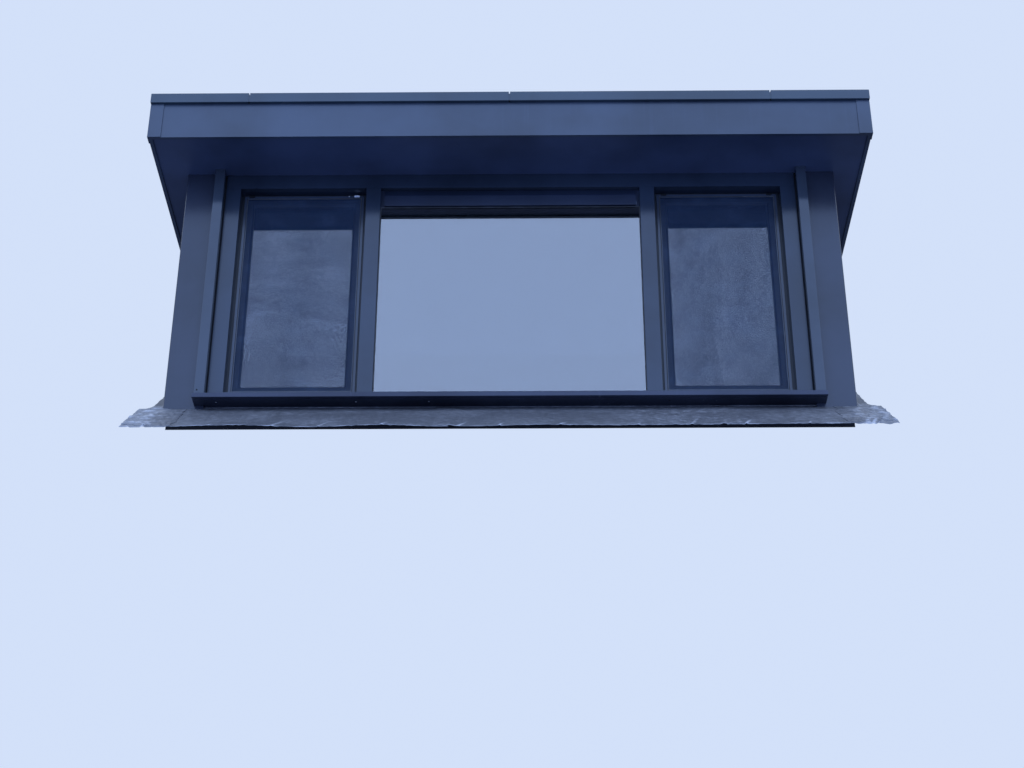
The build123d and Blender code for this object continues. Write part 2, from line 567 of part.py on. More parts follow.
def trim_section(proud):
    """Section of the trim as (inwards, z): a return on the fascia, a face, a flange on the kerb."""
    trim_return = proud + TRIM_LAP
    return [(0, FASCIA_TOP), (0, EDGE_TOP), (TRIM_FLANGE, EDGE_TOP),
            (TRIM_FLANGE, EDGE_TOP - TRIM_WALL), (TRIM_WALL, EDGE_TOP - TRIM_WALL),
            (TRIM_WALL, FASCIA_TOP + TRIM_WALL), (trim_return, FASCIA_TOP + TRIM_WALL),
            (trim_return, FASCIA_TOP)]


def trim(front):
    """Edge trim of the roof along the front or along the right side."""
    plan = mitred(trim_x, trim_face, TRIM_FLANGE, front)
    if front:
        run = along_x([(trim_face + inward, z) for inward, z in trim_section(TRIM_PROUD)],
                      -trim_x, trim_x, trim_rounding)
    else:
        run = along_y([(trim_x - inward, z) for inward, z in trim_section(TRIM_SIDE_PROUD)],
                      trim_face, REACH, trim_rounding)
    return (run & along_z(plan, FASCIA_TOP, EDGE_TOP)) - below(cover)


parts["front_fascia"] = fascia(True)
both_sides("fascia", fascia(False))
both_sides("roof_trim", trim(False))

# The front trim comes in lengths, with a plate behind each joint that stands on the return.
trim_joints = [place * TRIM_BAY for place in (-1, 0, 1)]
parts["front_roof_trim"] = trim(True) - [
    block(x - TRIM_JOINT / 2, x + TRIM_JOINT / 2, trim_face, trim_face + TRIM_FLANGE,
          FASCIA_TOP, EDGE_TOP) for x in trim_joints]
plate_front = trim_face + TRIM_WALL
parts["trim_joint_plates"] = Compound(children=[
    block(x - SPLICE_WIDTH / 2, x + SPLICE_WIDTH / 2, plate_front, plate_front + SPLICE_THICKNESS,
          FASCIA_TOP + TRIM_WALL, EDGE_TOP - SPLICE_DROP) for x in trim_joints])

corner_out = HALF_ROOF + CORNER_THICKNESS
corner_face = FASCIA_FACE - CORNER_THICKNESS
corner_plan = [(HALF_ROOF - CORNER_WIDTH, FASCIA_FACE), (HALF_ROOF - CORNER_WIDTH, corner_face),
               (corner_out, corner_face), (corner_out, FASCIA_FACE + CORNER_RETURN),
               (HALF_ROOF, FASCIA_FACE + CORNER_RETURN), (HALF_ROOF, FASCIA_FACE)]
corner_rounding = [0, 0, EDGE_ROUNDING, 0, 0, 0]
pair("fascia_corners", along_z(corner_plan, SOFFIT - FASCIA_DROP, FASCIA_TOP, corner_rounding))

soffit_half = [(0, rim_face), (rim_side, rim_face), (rim_side, REACH), (CLADDING_INSIDE, REACH),
               (CLADDING_INSIDE, WALL_FRONT), (CASING_INSIDE, WALL_FRONT), (CASING_INSIDE, WALL_BACK),
               (0, WALL_BACK)]
right_soffit = along_z(soffit_half, SOFFIT, JOIST_BOTTOM) - below(cover)
parts["soffit"] = right_soffit + mirror(right_soffit, about=Plane.YZ)

# Lead apron down the slope in front, and lead flashings along the cheeks.
apron_foot = WALL_FRONT - APRON_LENGTH * COSINE
lead_rise = LEAD_THICKNESS / COSINE
lead_side = HALF_BODY + LEAD_SIDE_REACH
apron = along_x([(WALL_FRONT, cover(WALL_FRONT)), (apron_foot, cover(apron_foot)),
                 (apron_foot, cover(apron_foot) - lead_rise),
                 (WALL_FRONT, cover(WALL_FRONT) - lead_rise)], -lead_side, lead_side)
apron_upstand = block(-CASING_INSIDE, CASING_INSIDE, tongue_back, WALL_FRONT,
                      cover(WALL_FRONT) - lead_rise, FRAME_BOTTOM)
parts["lead_apron"] = apron + apron_upstand

flashing_foot = CASING_FACE - FLASHING_LAP
flashing_end = cover_back(SOFFIT - FASCIA_DROP - lead_rise) - LEAD_THICKNESS


def lead_strip(x_low, x_high, y_low, height):
    """Strip of lead along the roof covering, this high, from a place y up to its end."""
    return along_x([(y_low, cover(y_low)), (flashing_end, cover(flashing_end)),
                    (flashing_end, cover(flashing_end) + height), (y_low, cover(y_low) + height)],
                   x_low, x_high)


# Each flashing is wide beside the apron and narrow further up. It is cut out round the casing.
narrow_start = CASING_FACE + LEAD_NARROW_START
flashing = lead_strip(CORE_OUTSIDE, lead_side, flashing_foot, lead_rise)
flashing -= lead_strip(HALF_BODY + LEAD_NARROW_REACH, REACH, narrow_start, lead_rise)
flashing += lead_strip(CORE_OUTSIDE, CORE_OUTSIDE + LEAD_THICKNESS, flashing_foot, LEAD_UPSTAND / COSINE)
both_sides("lead_flashing", flashing - block(0, HALF_BODY, -REACH, cladding_front, -REACH, REACH))

os.makedirs("parts", exist_ok=True)
for name, piece in parts.items():
    export_step(piece, f"parts/{name}.step")
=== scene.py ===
from math import cos, pi, radians, sin, tan

import bmesh
import bpy
import numpy as np
from mathutils import Matrix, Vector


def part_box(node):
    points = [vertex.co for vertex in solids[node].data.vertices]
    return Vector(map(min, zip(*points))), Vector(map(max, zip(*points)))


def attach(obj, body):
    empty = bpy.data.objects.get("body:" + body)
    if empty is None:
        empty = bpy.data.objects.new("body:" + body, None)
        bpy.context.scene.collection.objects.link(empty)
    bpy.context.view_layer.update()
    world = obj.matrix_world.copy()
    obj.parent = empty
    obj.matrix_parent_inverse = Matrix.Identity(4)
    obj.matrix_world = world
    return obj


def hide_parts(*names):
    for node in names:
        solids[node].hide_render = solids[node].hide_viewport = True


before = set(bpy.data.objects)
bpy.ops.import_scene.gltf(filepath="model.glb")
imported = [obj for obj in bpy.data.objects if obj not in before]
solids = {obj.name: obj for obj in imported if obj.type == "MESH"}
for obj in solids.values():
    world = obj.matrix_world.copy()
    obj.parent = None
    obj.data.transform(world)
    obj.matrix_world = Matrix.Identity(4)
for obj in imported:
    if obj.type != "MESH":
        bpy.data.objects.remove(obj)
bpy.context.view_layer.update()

# The camera stands about nine metres off and five below the dormer, and looks up at it. Its
# place, turn and focal length were worked out from the dormer's edges in the picture.
CAMERA_PLACE = (0.106, -7.936, -4.458)
CAMERA_PITCH = radians(30.559)
CAMERA_YAW = radians(-0.690)
CAMERA_ROLL = radians(-0.107)
FOCAL_PIXELS = 1902.0
PICTURE_WIDTH = 1024
SENSOR_WIDTH = 36.0

camera_data = bpy.data.cameras.new("picture_camera")
camera_data.sensor_width = SENSOR_WIDTH
camera_data.lens = FOCAL_PIXELS * SENSOR_WIDTH / PICTURE_WIDTH
camera = bpy.data.objects.new("picture_camera", camera_data)
camera.matrix_world = (Matrix.Translation(CAMERA_PLACE) @ Matrix.Rotation(-CAMERA_YAW, 4, "Z")
                       @ Matrix.Rotation(pi / 2 + CAMERA_PITCH, 4, "X")
                       @ Matrix.Rotation(-CAMERA_ROLL, 4, "Z"))
bpy.context.scene.collection.objects.link(camera)
bpy.context.scene.camera = camera
bpy.context.scene.view_settings.view_transform = "Standard"


class Wire:
    """What one socket gives out, so that sums on it are written as plain expressions."""

    def __init__(self, nodes, socket):
        self.nodes = nodes
        self.socket = socket

    def other(self, name):
        """Another output of the same node."""
        return Wire(self.nodes, self.socket.node.outputs[name])

    def maths(self, operation, *values):
        return self.nodes.add("Math", {"operation": operation}, dict(enumerate(values)))

    def __add__(self, value):
        return self.maths("ADD", self, value)

    def __sub__(self, value):
        return self.maths("SUBTRACT", self, value)

    def __rsub__(self, value):
        return self.maths("SUBTRACT", value, self)

    def __mul__(self, value):
        return self.maths("MULTIPLY", self, value)

    def __truediv__(self, value):
        return self.maths("DIVIDE", self, value)

    def __gt__(self, value):
        return self.maths("GREATER_THAN", self, value)

    def __abs__(self):
        return self.maths("ABSOLUTE", self)

    __radd__ = __add__
    __rmul__ = __mul__

    def rise(self, low, high):
        """Smooth step: 0 up to the low value, 1 from the high one. With low above high it falls."""
        return self.nodes.add("MapRange", {"interpolation_type": "SMOOTHSTEP"},
                              {"Value": self, "From Min": low, "From Max": high})


class Nodes:
    """The nodes of one material, or of the sky."""

    def __init__(self, tree):
        self.tree = tree

    def add(self, kind, settings, sockets, output=0):
        """Add a node: its settings first, then the values or links of its sockets."""
        made = self.tree.nodes.new("ShaderNode" + kind)
        for name, value in settings.items():
            setattr(made, name, value)
        for name, value in sockets.items():
            if isinstance(value, Wire):
                self.tree.links.new(value.socket, made.inputs[name])
            elif isinstance(value, tuple) and made.inputs[name].type == "RGBA":
                made.inputs[name].default_value = value + (1.0,)
            else:
                made.inputs[name].default_value = value
        return Wire(self, made.outputs[output])

    def blend(self, share, first, second):
        """The first colour where the share is 0, the second where it is 1."""
        return self.add("Mix", {"data_type": "RGBA"}, {0: share, 6: first, 7: second}, 2)


# The sky is overcast and soft, bluest and brightest in front of the dormer. Weaker light comes
# from below, least of it from behind. A pale floor lies seven metres down and gives no light
# back, and behind the panes the sky is dimmed, because a closed room is there.
SKY_SEEN = (0.650, 0.750, 0.950)
GROUND_SEEN = (0.560, 0.610, 0.700)
SKY_IN_FRONT = (1.05, 1.50, 2.60)
SKY_AROUND = (0.80, 0.96, 1.28)
LIGHT_FROM_BELOW = (0.47, 0.70, 1.46)
SHADE_BEHIND = (0.11, 0.15, 0.27)
GROUND_LEVEL = -7.0
GROUND_REACH = 400.0
GROUND_COLOUR = (0.46, 0.38, 0.27)
ROOM_DARKNESS = 0.96

world = bpy.data.worlds.new("overcast")
world.use_nodes = True
bpy.context.scene.world = world
sky = Nodes(world.node_tree)
direction = sky.add("TexCoord", {}, {}, "Generated")
towards_back = sky.add("SeparateXYZ", {}, {0: direction}, "Y")
upwards = towards_back.other("Z")
path = sky.add("LightPath", {}, {}, "Is Camera Ray")
lit_sky = sky.blend(towards_back.rise(-0.75, -0.10), SKY_IN_FRONT, SKY_AROUND)
from_below = sky.blend(towards_back.rise(-0.40, 0.00), LIGHT_FROM_BELOW, SHADE_BEHIND)
lighting = sky.blend(upwards.rise(-0.06, 0.03), from_below, lit_sky)
behind_glass = path.other("Is Transmission Ray") * towards_back.rise(-0.05, 0.05)
lighting = sky.add("VectorMath", {"operation": "SCALE"},
                   {0: lighting, "Scale": 1.0 - ROOM_DARKNESS * behind_glass})
seen = sky.blend(upwards.rise(-0.02, 0.02), GROUND_SEEN, SKY_SEEN)
background = world.node_tree.nodes["Background"]
world.node_tree.links.new(sky.blend(path, lighting, seen).socket, background.inputs["Color"])

ground_mesh = bpy.data.meshes.new("ground")
ground_corners = [(-GROUND_REACH, -GROUND_REACH), (GROUND_REACH, -GROUND_REACH),
                  (GROUND_REACH, GROUND_REACH), (-GROUND_REACH, GROUND_REACH)]
ground_mesh.from_pydata([(x, y, GROUND_LEVEL) for x, y in ground_corners], [], [(0, 1, 2, 3)])
ground = bpy.data.objects.new("ground", ground_mesh)
bpy.context.scene.collection.objects.link(ground)
ground.visible_diffuse = False
ground.visible_glossy = False
ground.visible_transmission = False


class Finish(Nodes):
    """A material whose patterns are read from the piece's own coordinates, in metres."""

    def __init__(self, name, fixed):
        material = bpy.data.materials.new(name)
        material.use_nodes = True
        super().__init__(material.node_tree)
        self.material = material
        self.shader = material.node_tree.nodes["Principled BSDF"]
        for socket, value in fixed.items():
            self.shader.inputs[socket].default_value = value
        self.place = self.add("TexCoord", {}, {}, "Object")
        self.x = self.add("SeparateXYZ", {}, {0: self.place}, "X")
        self.y = self.x.other("Y")
        self.z = self.x.other("Z")

    def stretched(self, per_metre, turn=(0.0, 0.0, 0.0)):
        """The coordinates scaled along X, Y and Z, and turned."""
        return self.add("Mapping", {}, {"Vector": self.place, "Scale": per_metre, "Rotation": turn})

    def noise(self, per_metre, detail=3.0, roughness=0.55, turn=(0.0, 0.0, 0.0)):
        """Cloudy noise from 0 to 1, with so many clouds to a metre along X, Y and Z."""
        return self.add("TexNoise", {}, {"Vector": self.stretched(per_metre, turn), "Scale": 1.0,
                                         "Detail": detail, "Roughness": roughness})

    def give(self, socket, wire):
        """Feed one of the shader's sockets."""
        self.tree.links.new(wire.socket, self.shader.inputs[socket])

    def relief(self, height, distance, strength=1.0):
        """Let a height from 0 to 1 tilt the surface's light, as if it were this many metres deep."""
        self.give("Normal", self.add("Bump", {}, {"Height": height, "Distance": distance,
                                                  "Strength": strength}))


def coat(finish, *names):
    """Give a finish to solids that show as they are."""
    for name in names:
        materials = solids[name].data.materials
        materials.clear()
        materials.append(finish.material)


ground_finish = Finish("pale_ground", {"Roughness": 0.9})
ground_tone = ground_finish.noise((0.4, 0.4, 0.4))
ground_finish.give("Base Color", ground_finish.blend(
    ground_tone, tuple(0.97 * c for c in GROUND_COLOUR), GROUND_COLOUR))
ground_mesh.materials.append(ground_finish.material)

# Soles, posts, header, joists, rim and kerb are planed softwood, nailed and screwed together.
# The grain runs along each timber, with darker late wood, fine fibres and a few knots. The front
# sole and the kerb are coloured near black, a painted shade: where they show, under the apron
# and in the gap behind the roof trim, they read as shadow.
EARLY_WOOD = (0.560, 0.395, 0.215)
LATE_WOOD = (0.355, 0.215, 0.100)
PAINTED_SHADE_EARLY = (0.034, 0.034, 0.038)
PAINTED_SHADE_LATE = (0.016, 0.016, 0.019)
KNOT = (0.130, 0.062, 0.028)
RINGS_PER_METRE = 46.0
ALONG = {"X": (0.022, 1.0, 1.0), "Y": (1.0, 0.022, 1.0), "Z": (1.0, 1.0, 0.022)}


def softwood(name, axis, early=EARLY_WOOD, late=LATE_WOOD, knot=KNOT):
    """Noise drawn out along one axis gives the rings and fibres, and a cell pattern the knots."""
    wood = Finish(name, {})
    run = ALONG[axis]
    rings = wood.noise(tuple(RINGS_PER_METRE * share for share in run), 2.0)
    fibres = wood.noise(tuple(9.0 * RINGS_PER_METRE * share for share in run), 4.0)
    late_share = rings.rise(0.42, 0.62) * 0.8 + (fibres - 0.5) * 0.5
    knot_run = tuple(5.0 if share == 1.0 else 1.6 for share in run)
    distance = wood.add("TexVoronoi", {"feature": "F1"},
                        {"Vector": wood.stretched(knot_run), "Scale": 1.0, "Randomness": 1.0})
    knots = distance.rise(0.085, 0.045)
    tone = wood.blend(late_share, early, late)
    wood.give("Base Color", wood.blend(knots, tone, knot))
    wood.give("Roughness", 0.62 + fibres * 0.2)
    wood.relief(fibres * 0.6 + rings * 0.4, 0.0006, 0.6)
    return wood


coat(softwood("softwood_across", "X"), "rear_header")
# Near-black painted shade for the front sole and the kerb.
coat(softwood("softwood_painted_shade", "X", PAINTED_SHADE_EARLY, PAINTED_SHADE_LATE, PAINTED_SHADE_LATE),
     "front_sole", "roof_kerb")
coat(softwood("softwood_upright", "Z"), "corner_posts")
coat(softwood("softwood_back", "Y"), "cheek_soles", "roof_joists", "roof_rim")

# Cheek cores and roof deck are faced with strand board: long flakes of wood pressed in all
# directions, in many tones, with a few dark ones and low edges where flakes lie over each other.
FLAKE_LIGHT = (0.600, 0.440, 0.245)
FLAKE_MIDDLE = (0.430, 0.275, 0.130)
FLAKE_DARK = (0.215, 0.120, 0.055)
FLAKES_PER_METRE = 26.0
FLAKE_TURNS = (0.35, 1.25, 2.3)

strand_board = Finish("strand_board", {"Roughness": 0.68})
flake_tones = []
for turn in FLAKE_TURNS:
    spot = strand_board.stretched((FLAKES_PER_METRE, 0.36 * FLAKES_PER_METRE, FLAKES_PER_METRE),
                                  (turn, 0.7 * turn, turn))
    flakes = strand_board.add("TexVoronoi", {"feature": "F1"},
                              {"Vector": spot, "Scale": 1.0, "Randomness": 1.0}, "Color")
    flake_tones.append(strand_board.add("SeparateXYZ", {}, {0: flakes}, "X"))
layer = flake_tones[2].other("Y")
tone = flake_tones[0] * (1.0 - (layer > 0.6)) + flake_tones[1] * (layer > 0.6)
fibre = strand_board.noise((210.0, 60.0, 210.0), 3.0)
colour = strand_board.blend((tone + fibre * 0.3).rise(0.15, 1.05), FLAKE_MIDDLE, FLAKE_LIGHT)
colour = strand_board.blend((tone > 0.9) * 0.8, colour, FLAKE_DARK)
strand_board.give("Base Color", colour)
strand_board.relief(tone * 0.8 + fibre * 0.2, 0.0012, 0.7)
coat(strand_board, "left_cheek_core", "right_cheek_core", "roof_deck")

# The linings and the window board inside are boards painted matt white with a roller, which
# leaves a fine stipple, a little greyer in large clouds.
PAINT_WHITE = (0.800, 0.800, 0.770)
PAINT_GREYED = (0.640, 0.640, 0.620)

painted = Finish("painted_lining", {})
stipple = painted.noise((420.0, 420.0, 420.0), 2.0)
greyed = painted.noise((1.7, 1.7, 1.7), 4.0).rise(0.5, 0.85)
painted.give("Base Color", painted.blend(greyed * 0.5, PAINT_WHITE, PAINT_GREYED))
painted.give("Roughness", 0.5 + stipple * 0.25)
painted.relief(stipple, 0.0004, 0.5)
coat(painted, "left_cheek_lining", "right_cheek_lining", "ceiling_lining", "window_board")

# Upright battens on the cheeks are sawn softwood, tinted green by the preservative. They are
# nailed to the cheek cores and carry the cladding.
BATTEN_EARLY = (0.330, 0.330, 0.170)
BATTEN_LATE = (0.215, 0.200, 0.095)
coat(softwood("treated_batten", "Z", BATTEN_EARLY, BATTEN_LATE), "cheek_battens")

# The cheeks are clad with rebated boards, laid level one above the other from the foot to the
# soffit and cut off along the slope. They are matt dark grey plastic with a smooth face and a
# shadow groove at each joint, and hang on hidden clips.
ROOF_PITCH = radians(40.0)
BOARD_COUNT = 9
GROOVE_HEIGHT = 0.014
GROOVE_DEPTH = 0.008
GROOVE_SLOPE = 0.006
BOARD_EDGE = 0.0012
BOARD_GAP = 0.0006


def smooth(mesh, angle):
    """Shade round surfaces as round, and keep edges sharp that turn by more than the angle."""
    mesh.polygons.foreach_set("use_smooth", np.ones(len(mesh.polygons), bool))
    mesh.set_sharp_from_angle(angle=angle)


def piece(name, shape, finish, stands_for=(), shade=radians(35.0)):
    """Make one new piece from its (points, faces), and seat it in the frame."""
    points, faces = shape
    mesh = bpy.data.meshes.new(name)
    mesh.from_pydata(points.tolist(), [], faces)
    outward = bmesh.new()
    outward.from_mesh(mesh)
    bmesh.ops.recalc_face_normals(outward, faces=outward.faces)
    outward.to_mesh(mesh)
    outward.free()
    smooth(mesh, shade)
    mesh.materials.append(finish.material)
    made = bpy.data.objects.new(name, mesh)
    bpy.context.scene.collection.objects.link(made)
    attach(made, "root")
    if stands_for:
        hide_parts(*stands_for)
    return made


def skin(rings, looped=False):
    """Closed outline carried along a path: rings[i, j] is point j of the outline at place i of
    the path, and each four neighbours make a face. A path that isn't looped has closed ends."""
    places, around = rings.shape[:2]
    index = np.arange(places * around).reshape(places, around)
    if looped:
        index = np.vstack([index, index[:1]])
    index = np.hstack([index, index[:, :1]])
    quads = np.stack([index[:-1, :-1], index[:-1, 1:], index[1:, 1:], index[1:, :-1]], axis=-1)
    faces = quads.reshape(-1, 4).tolist()
    if not looped:
        faces += [index[0, -2::-1].tolist(), index[-1, :-1].tolist()]
    return rings.reshape(-1, 3), faces


def together(shapes):
    """Several (points, faces) as one."""
    points, faces, start = [], [], 0
    for shape_points, shape_faces in shapes:
        points.append(shape_points)
        faces += [[start + corner for corner in face] for face in shape_faces]
        start += len(shape_points)
    return np.vstack(points), faces


def mirrored(shape):
    """The same shape on the other side of the dormer's middle."""
    points, faces = shape
    return points * (-1.0, 1.0, 1.0), faces


def on_both_sides(*right_shapes):
    """Shapes of the right-hand side with their mirror images, as one."""
    return together(list(right_shapes) + [mirrored(shape) for shape in right_shapes])


def dark_board(name, base, gloss, streaks=0.0, grain=None, joints=None, fixed=None):
    """Dark smooth board or coated metal: a base colour about a quarter lighter and a fifth darker
    in clouds, thin runs of dried rain, a fine relief, and a roughness that wanders round a value.
    Where the joints function is 1, a fine dark line is pressed in."""
    board = Finish(name, fixed or {})
    clouds = board.noise((1.9, 1.9, 1.9), 4.0)
    speckle = board.noise((900.0, 900.0, 900.0), 1.0)
    runs = board.noise((46.0, 46.0, 0.9), 3.0).rise(0.52, 0.78)
    runs = runs * board.noise((3.1, 3.1, 2.0)).rise(0.4, 0.7)
    light = tuple(1.28 * channel + 0.002 for channel in base)
    dark = tuple(0.82 * channel for channel in base)
    dust = tuple(3.2 * channel + 0.02 for channel in base)
    colour = board.blend(runs * streaks, board.blend(clouds.rise(0.3, 0.7), dark, light), dust)
    height = speckle * 0.2
    if joints:
        line = joints(board)
        colour = board.blend(line * 0.8, colour, tuple(0.15 * channel for channel in base))
        height = height - line
    board.give("Base Color", colour)
    board.give("Roughness", gloss + (clouds - 0.5) * 0.10 + runs * (0.8 * streaks))
    if grain:
        fibres = board.noise(tuple(520.0 * share for share in ALONG[grain]), 3.0)
        height = height + fibres * 0.8
    board.relief(height, 0.00022, 0.45)
    return board


CHEEK_BASE = (0.022, 0.028, 0.040)
cheek_finish = dark_board("cheek_board", CHEEK_BASE, 0.36, 0.10)


def cheek_boards(side):
    """Each board is its outline in (x, z), carried back from the casing to the slope."""
    low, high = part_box(side + "_cheek_cladding")
    outside, inside = max(abs(low.x), abs(high.x)), min(abs(low.x), abs(high.x))
    height = (high.z - low.z) / BOARD_COUNT
    boards = []
    for course in range(BOARD_COUNT):
        foot = low.z + course * height
        head = foot + height - BOARD_GAP
        groove = 0.0 if course == BOARD_COUNT - 1 else GROOVE_DEPTH
        outline = np.array([
            (inside, foot), (outside - BOARD_EDGE, foot), (outside, foot + BOARD_EDGE),
            (outside, head - GROOVE_HEIGHT - GROOVE_SLOPE - BOARD_EDGE),
            (outside - 0.3 * BOARD_EDGE, head - GROOVE_HEIGHT - GROOVE_SLOPE),
            (outside - groove, head - GROOVE_HEIGHT), (outside - groove, head), (inside, head)])
        front = np.full(len(outline), low.y)
        slope = high.y + (outline[:, 1] - high.z) / tan(ROOF_PITCH)
        slope = np.maximum(slope, low.y + BOARD_EDGE)
        rings = np.stack([np.column_stack([outline[:, 0], y, outline[:, 1]]) for y in (front, slope)])
        boards.append(skin(rings))
    shape = together(boards)
    return mirrored(shape) if side == "left" else shape


for side in ("left", "right"):
    piece(side + "_cheek_boards", cheek_boards(side), cheek_finish,
          (side + "_cheek_cladding",), radians(20.0))

# The corner casings are folded boards with a round outer corner, and hollow cover strips hide
# their inner edges. The casings are satin, and the strips glossier, so they mirror the sky below
# the soffit more sharply.
CASING_BASE = (0.019, 0.024, 0.040)
STRIP_BASE = (0.028, 0.037, 0.053)
casing_finish = dark_board("casing_board", CASING_BASE, 0.24, 0.10)
strip_finish = dark_board("cover_strip", STRIP_BASE, 0.11, 0.06)
coat(casing_finish, "left_casing", "right_casing")
coat(strip_finish, "left_cover_strip", "right_cover_strip")

# A strip of black foam closes the joint between the window frame and the posts beside it. It is
# pressed in, so its front bulges a little.
SEAL_SETBACK = 0.012
SEAL_DEPTH = 0.025
SEAL_BULGE = 0.002
SEAL_POINTS = 7

foam = Finish("black_foam", {})
pores = foam.noise((600.0, 600.0, 600.0), 2.0)
foam.give("Base Color", foam.blend(pores, (0.006, 0.007, 0.009), (0.022, 0.024, 0.028)))
foam.give("Roughness", 0.8 + pores * 0.15)
foam.relief(pores, 0.0008)


def foam_seal():
    """Outline in (x, y) with an arc in front, carried from the foot of the frame to the soffit."""
    frame_low, frame_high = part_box("right_jamb")
    x_low, x_high = frame_high.x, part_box("right_casing")[0].x
    front = frame_low.y + SEAL_SETBACK
    share = np.linspace(0.0, 1.0, SEAL_POINTS)
    arc = np.column_stack([x_low + (x_high - x_low) * share, front - SEAL_BULGE * np.sin(pi * share)])
    outline = np.vstack([arc, [(x_high, front + SEAL_DEPTH), (x_low, front + SEAL_DEPTH)]])
    foot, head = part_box("corner_posts")[0].z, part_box("soffit")[0].z
    return skin(np.stack([np.column_stack([outline, np.full(len(outline), z)]) for z in (foot, head)]))


piece("frame_joint_seals", on_both_sides(foam_seal()), foam)

# The sill is a folded metal section, screwed up from underneath. Three of its screws are bright,
# the others have coloured heads, and one more black screw holds the foot of the left cover strip.
SILL_BASE = (0.031, 0.036, 0.058)
BRIGHT_SCREWS = (-1.396, -0.730, -0.383)
DARK_SCREWS = (0.040, 0.400, 0.760, 1.396)
SCREW_RADIUS = 0.0042
SCREW_HEAD = 0.0016
SCREW_SIDES = 14
SILL_SCREW_BACK = 0.052
STRIP_SCREW_X = -1.491
STRIP_SCREW_HEIGHT = 0.124
DARK_SCREW_BASE = (0.003, 0.004, 0.006)

sill_finish = dark_board("sill_metal", SILL_BASE, 0.20, 0.12, fixed={"Specular IOR Level": 0.3})
coat(sill_finish, "front_sill")

zinc = Finish("bright_screw", {"Metallic": 1.0})
scratches = zinc.noise((900.0, 900.0, 900.0), 2.0)
zinc.give("Base Color", zinc.blend(scratches, (0.42, 0.44, 0.47), (0.75, 0.77, 0.80)))
zinc.give("Roughness", 0.22 + scratches * 0.3)
dark_screw = dark_board("dark_screw", DARK_SCREW_BASE, 0.5, fixed={"Specular IOR Level": 0.2})


def screw_head(place, out, radius=SCREW_RADIUS, head=SCREW_HEAD):
    """Low dome with a dimple for the driver: circles of the given radii and heights about an axis
    that points along out."""
    out = np.asarray(out, float)
    side = np.cross(out, (0.31, 0.87, 0.38))
    side /= np.linalg.norm(side)
    other = np.cross(out, side)
    radii = np.array([1.0, 1.0, 0.85, 0.55, 0.34, 0.28, 0.10]) * radius
    heights = np.array([0.0, 0.25, 0.70, 0.95, 0.98, 0.30, 0.25]) * head
    turn = np.linspace(0.0, 2 * pi, SCREW_SIDES, endpoint=False)
    circle = np.cos(turn)[:, None] * side + np.sin(turn)[:, None] * other
    rings = np.asarray(place) + radii[:, None, None] * circle + heights[:, None, None] * out
    return skin(rings)


sill_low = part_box("front_sill")[0]
screw_y = sill_low.y + SILL_SCREW_BACK
for name, places, finish in (("sill_bright_screws", BRIGHT_SCREWS, zinc),
                             ("sill_dark_screws", DARK_SCREWS, dark_screw)):
    heads = [screw_head((x, screw_y, sill_low.z), (0, 0, -1)) for x in places]
    piece(name, together(heads), finish)
strip_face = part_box("left_cover_strip")[0].y
piece("strip_screw", screw_head((STRIP_SCREW_X, strip_face, STRIP_SCREW_HEIGHT), (0, -1, 0)),
      dark_screw)

# The window frame is foiled plastic: head and bottom rail run through, and the jambs and mullions
# are welded between them. The foil has a fine embossed grain along each member.
FRAME_BASE = (0.016, 0.025, 0.043)
WELD_WIDTH = 0.0009

light_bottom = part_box("right_jamb")[0].z
light_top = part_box("right_jamb")[1].z


def frame_welds(finish):
    """Fine lines across the uprights, at the two heights where the level members meet them."""
    return (abs(finish.z - light_bottom).rise(WELD_WIDTH, 0.0)
            + abs(finish.z - light_top).rise(WELD_WIDTH, 0.0))


frame_upright = dark_board("frame_foil_upright", FRAME_BASE, 0.17, 0.0, "Z", frame_welds)
frame_level = dark_board("frame_foil_level", FRAME_BASE, 0.17, 0.0, "X")
coat(frame_upright, "left_jamb", "right_jamb", "left_mullion", "right_mullion")
coat(frame_level, "frame_head", "frame_bottom_rail", "centre_glazing_bead")

# The sashes sit deep behind the frame. Their foil is duller, and its colour is set far darker
# than the frame's foil, a painted shade for the deep recess under the soffit. Their corners are
# welded on the mitre, which leaves a fine line.
SASH_PAINTED_SHADE_BASE = (0.006, 0.008, 0.013)


def mitres(node):
    """Lines at 45 degrees in the corners of a ring, on either side of the dormer's middle: there
    a point is as far from the ring's side as from its end."""
    low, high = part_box(node)
    middle_x, half_width = (low.x + high.x) / 2, (high.x - low.x) / 2
    middle_z, half_height = (low.z + high.z) / 2, (high.z - low.z) / 2

    def lines(finish):
        from_side = abs(abs(finish.x) - middle_x) - half_width
        from_end = abs(finish.z - middle_z) - half_height
        return abs(from_side - from_end).rise(1.4 * WELD_WIDTH, 0.0)

    return lines


# The sash's very dark base colour is painted shade.
shaded_sash_finish = dark_board("sash_foil_painted_shade", SASH_PAINTED_SHADE_BASE, 0.42, 0.0, "Z", mitres("right_sash"),
                         {"Specular IOR Level": 0.48})
coat(shaded_sash_finish, "left_sash", "right_sash")

# Each sash turns on two hinges at the jamb. A hinge has a barrel of three knuckles with domed
# caps, and two leaves screwed to the sash and the frame, all coated dark on the room side.
HINGE_HEIGHT = 0.078
HINGE_RADIUS = 0.0065
HINGE_FROM_END = 0.14
BARREL_FROM_SASH = 0.004
BARREL_SIDES = 20
KNUCKLE_COUNT = 3
KNUCKLE_EDGE = 0.0006
KNUCKLE_NECK = 0.88
CAP_SHOULDER = 0.0016
CAP_HEIGHT = 0.0022
LEAF_WIDTH = 0.030
LEAF_THICKNESS = 0.0024
LEAF_CORNER = 0.004
SASH_LEAF_START = 0.004
FRAME_LEAF_START = 0.005
SASH_LEAF_SCREW = 0.017
FRAME_LEAF_SCREW = 0.018
LEAF_SCREW_RADIUS = 0.0034
LEAF_SCREW_HEAD = 0.0012


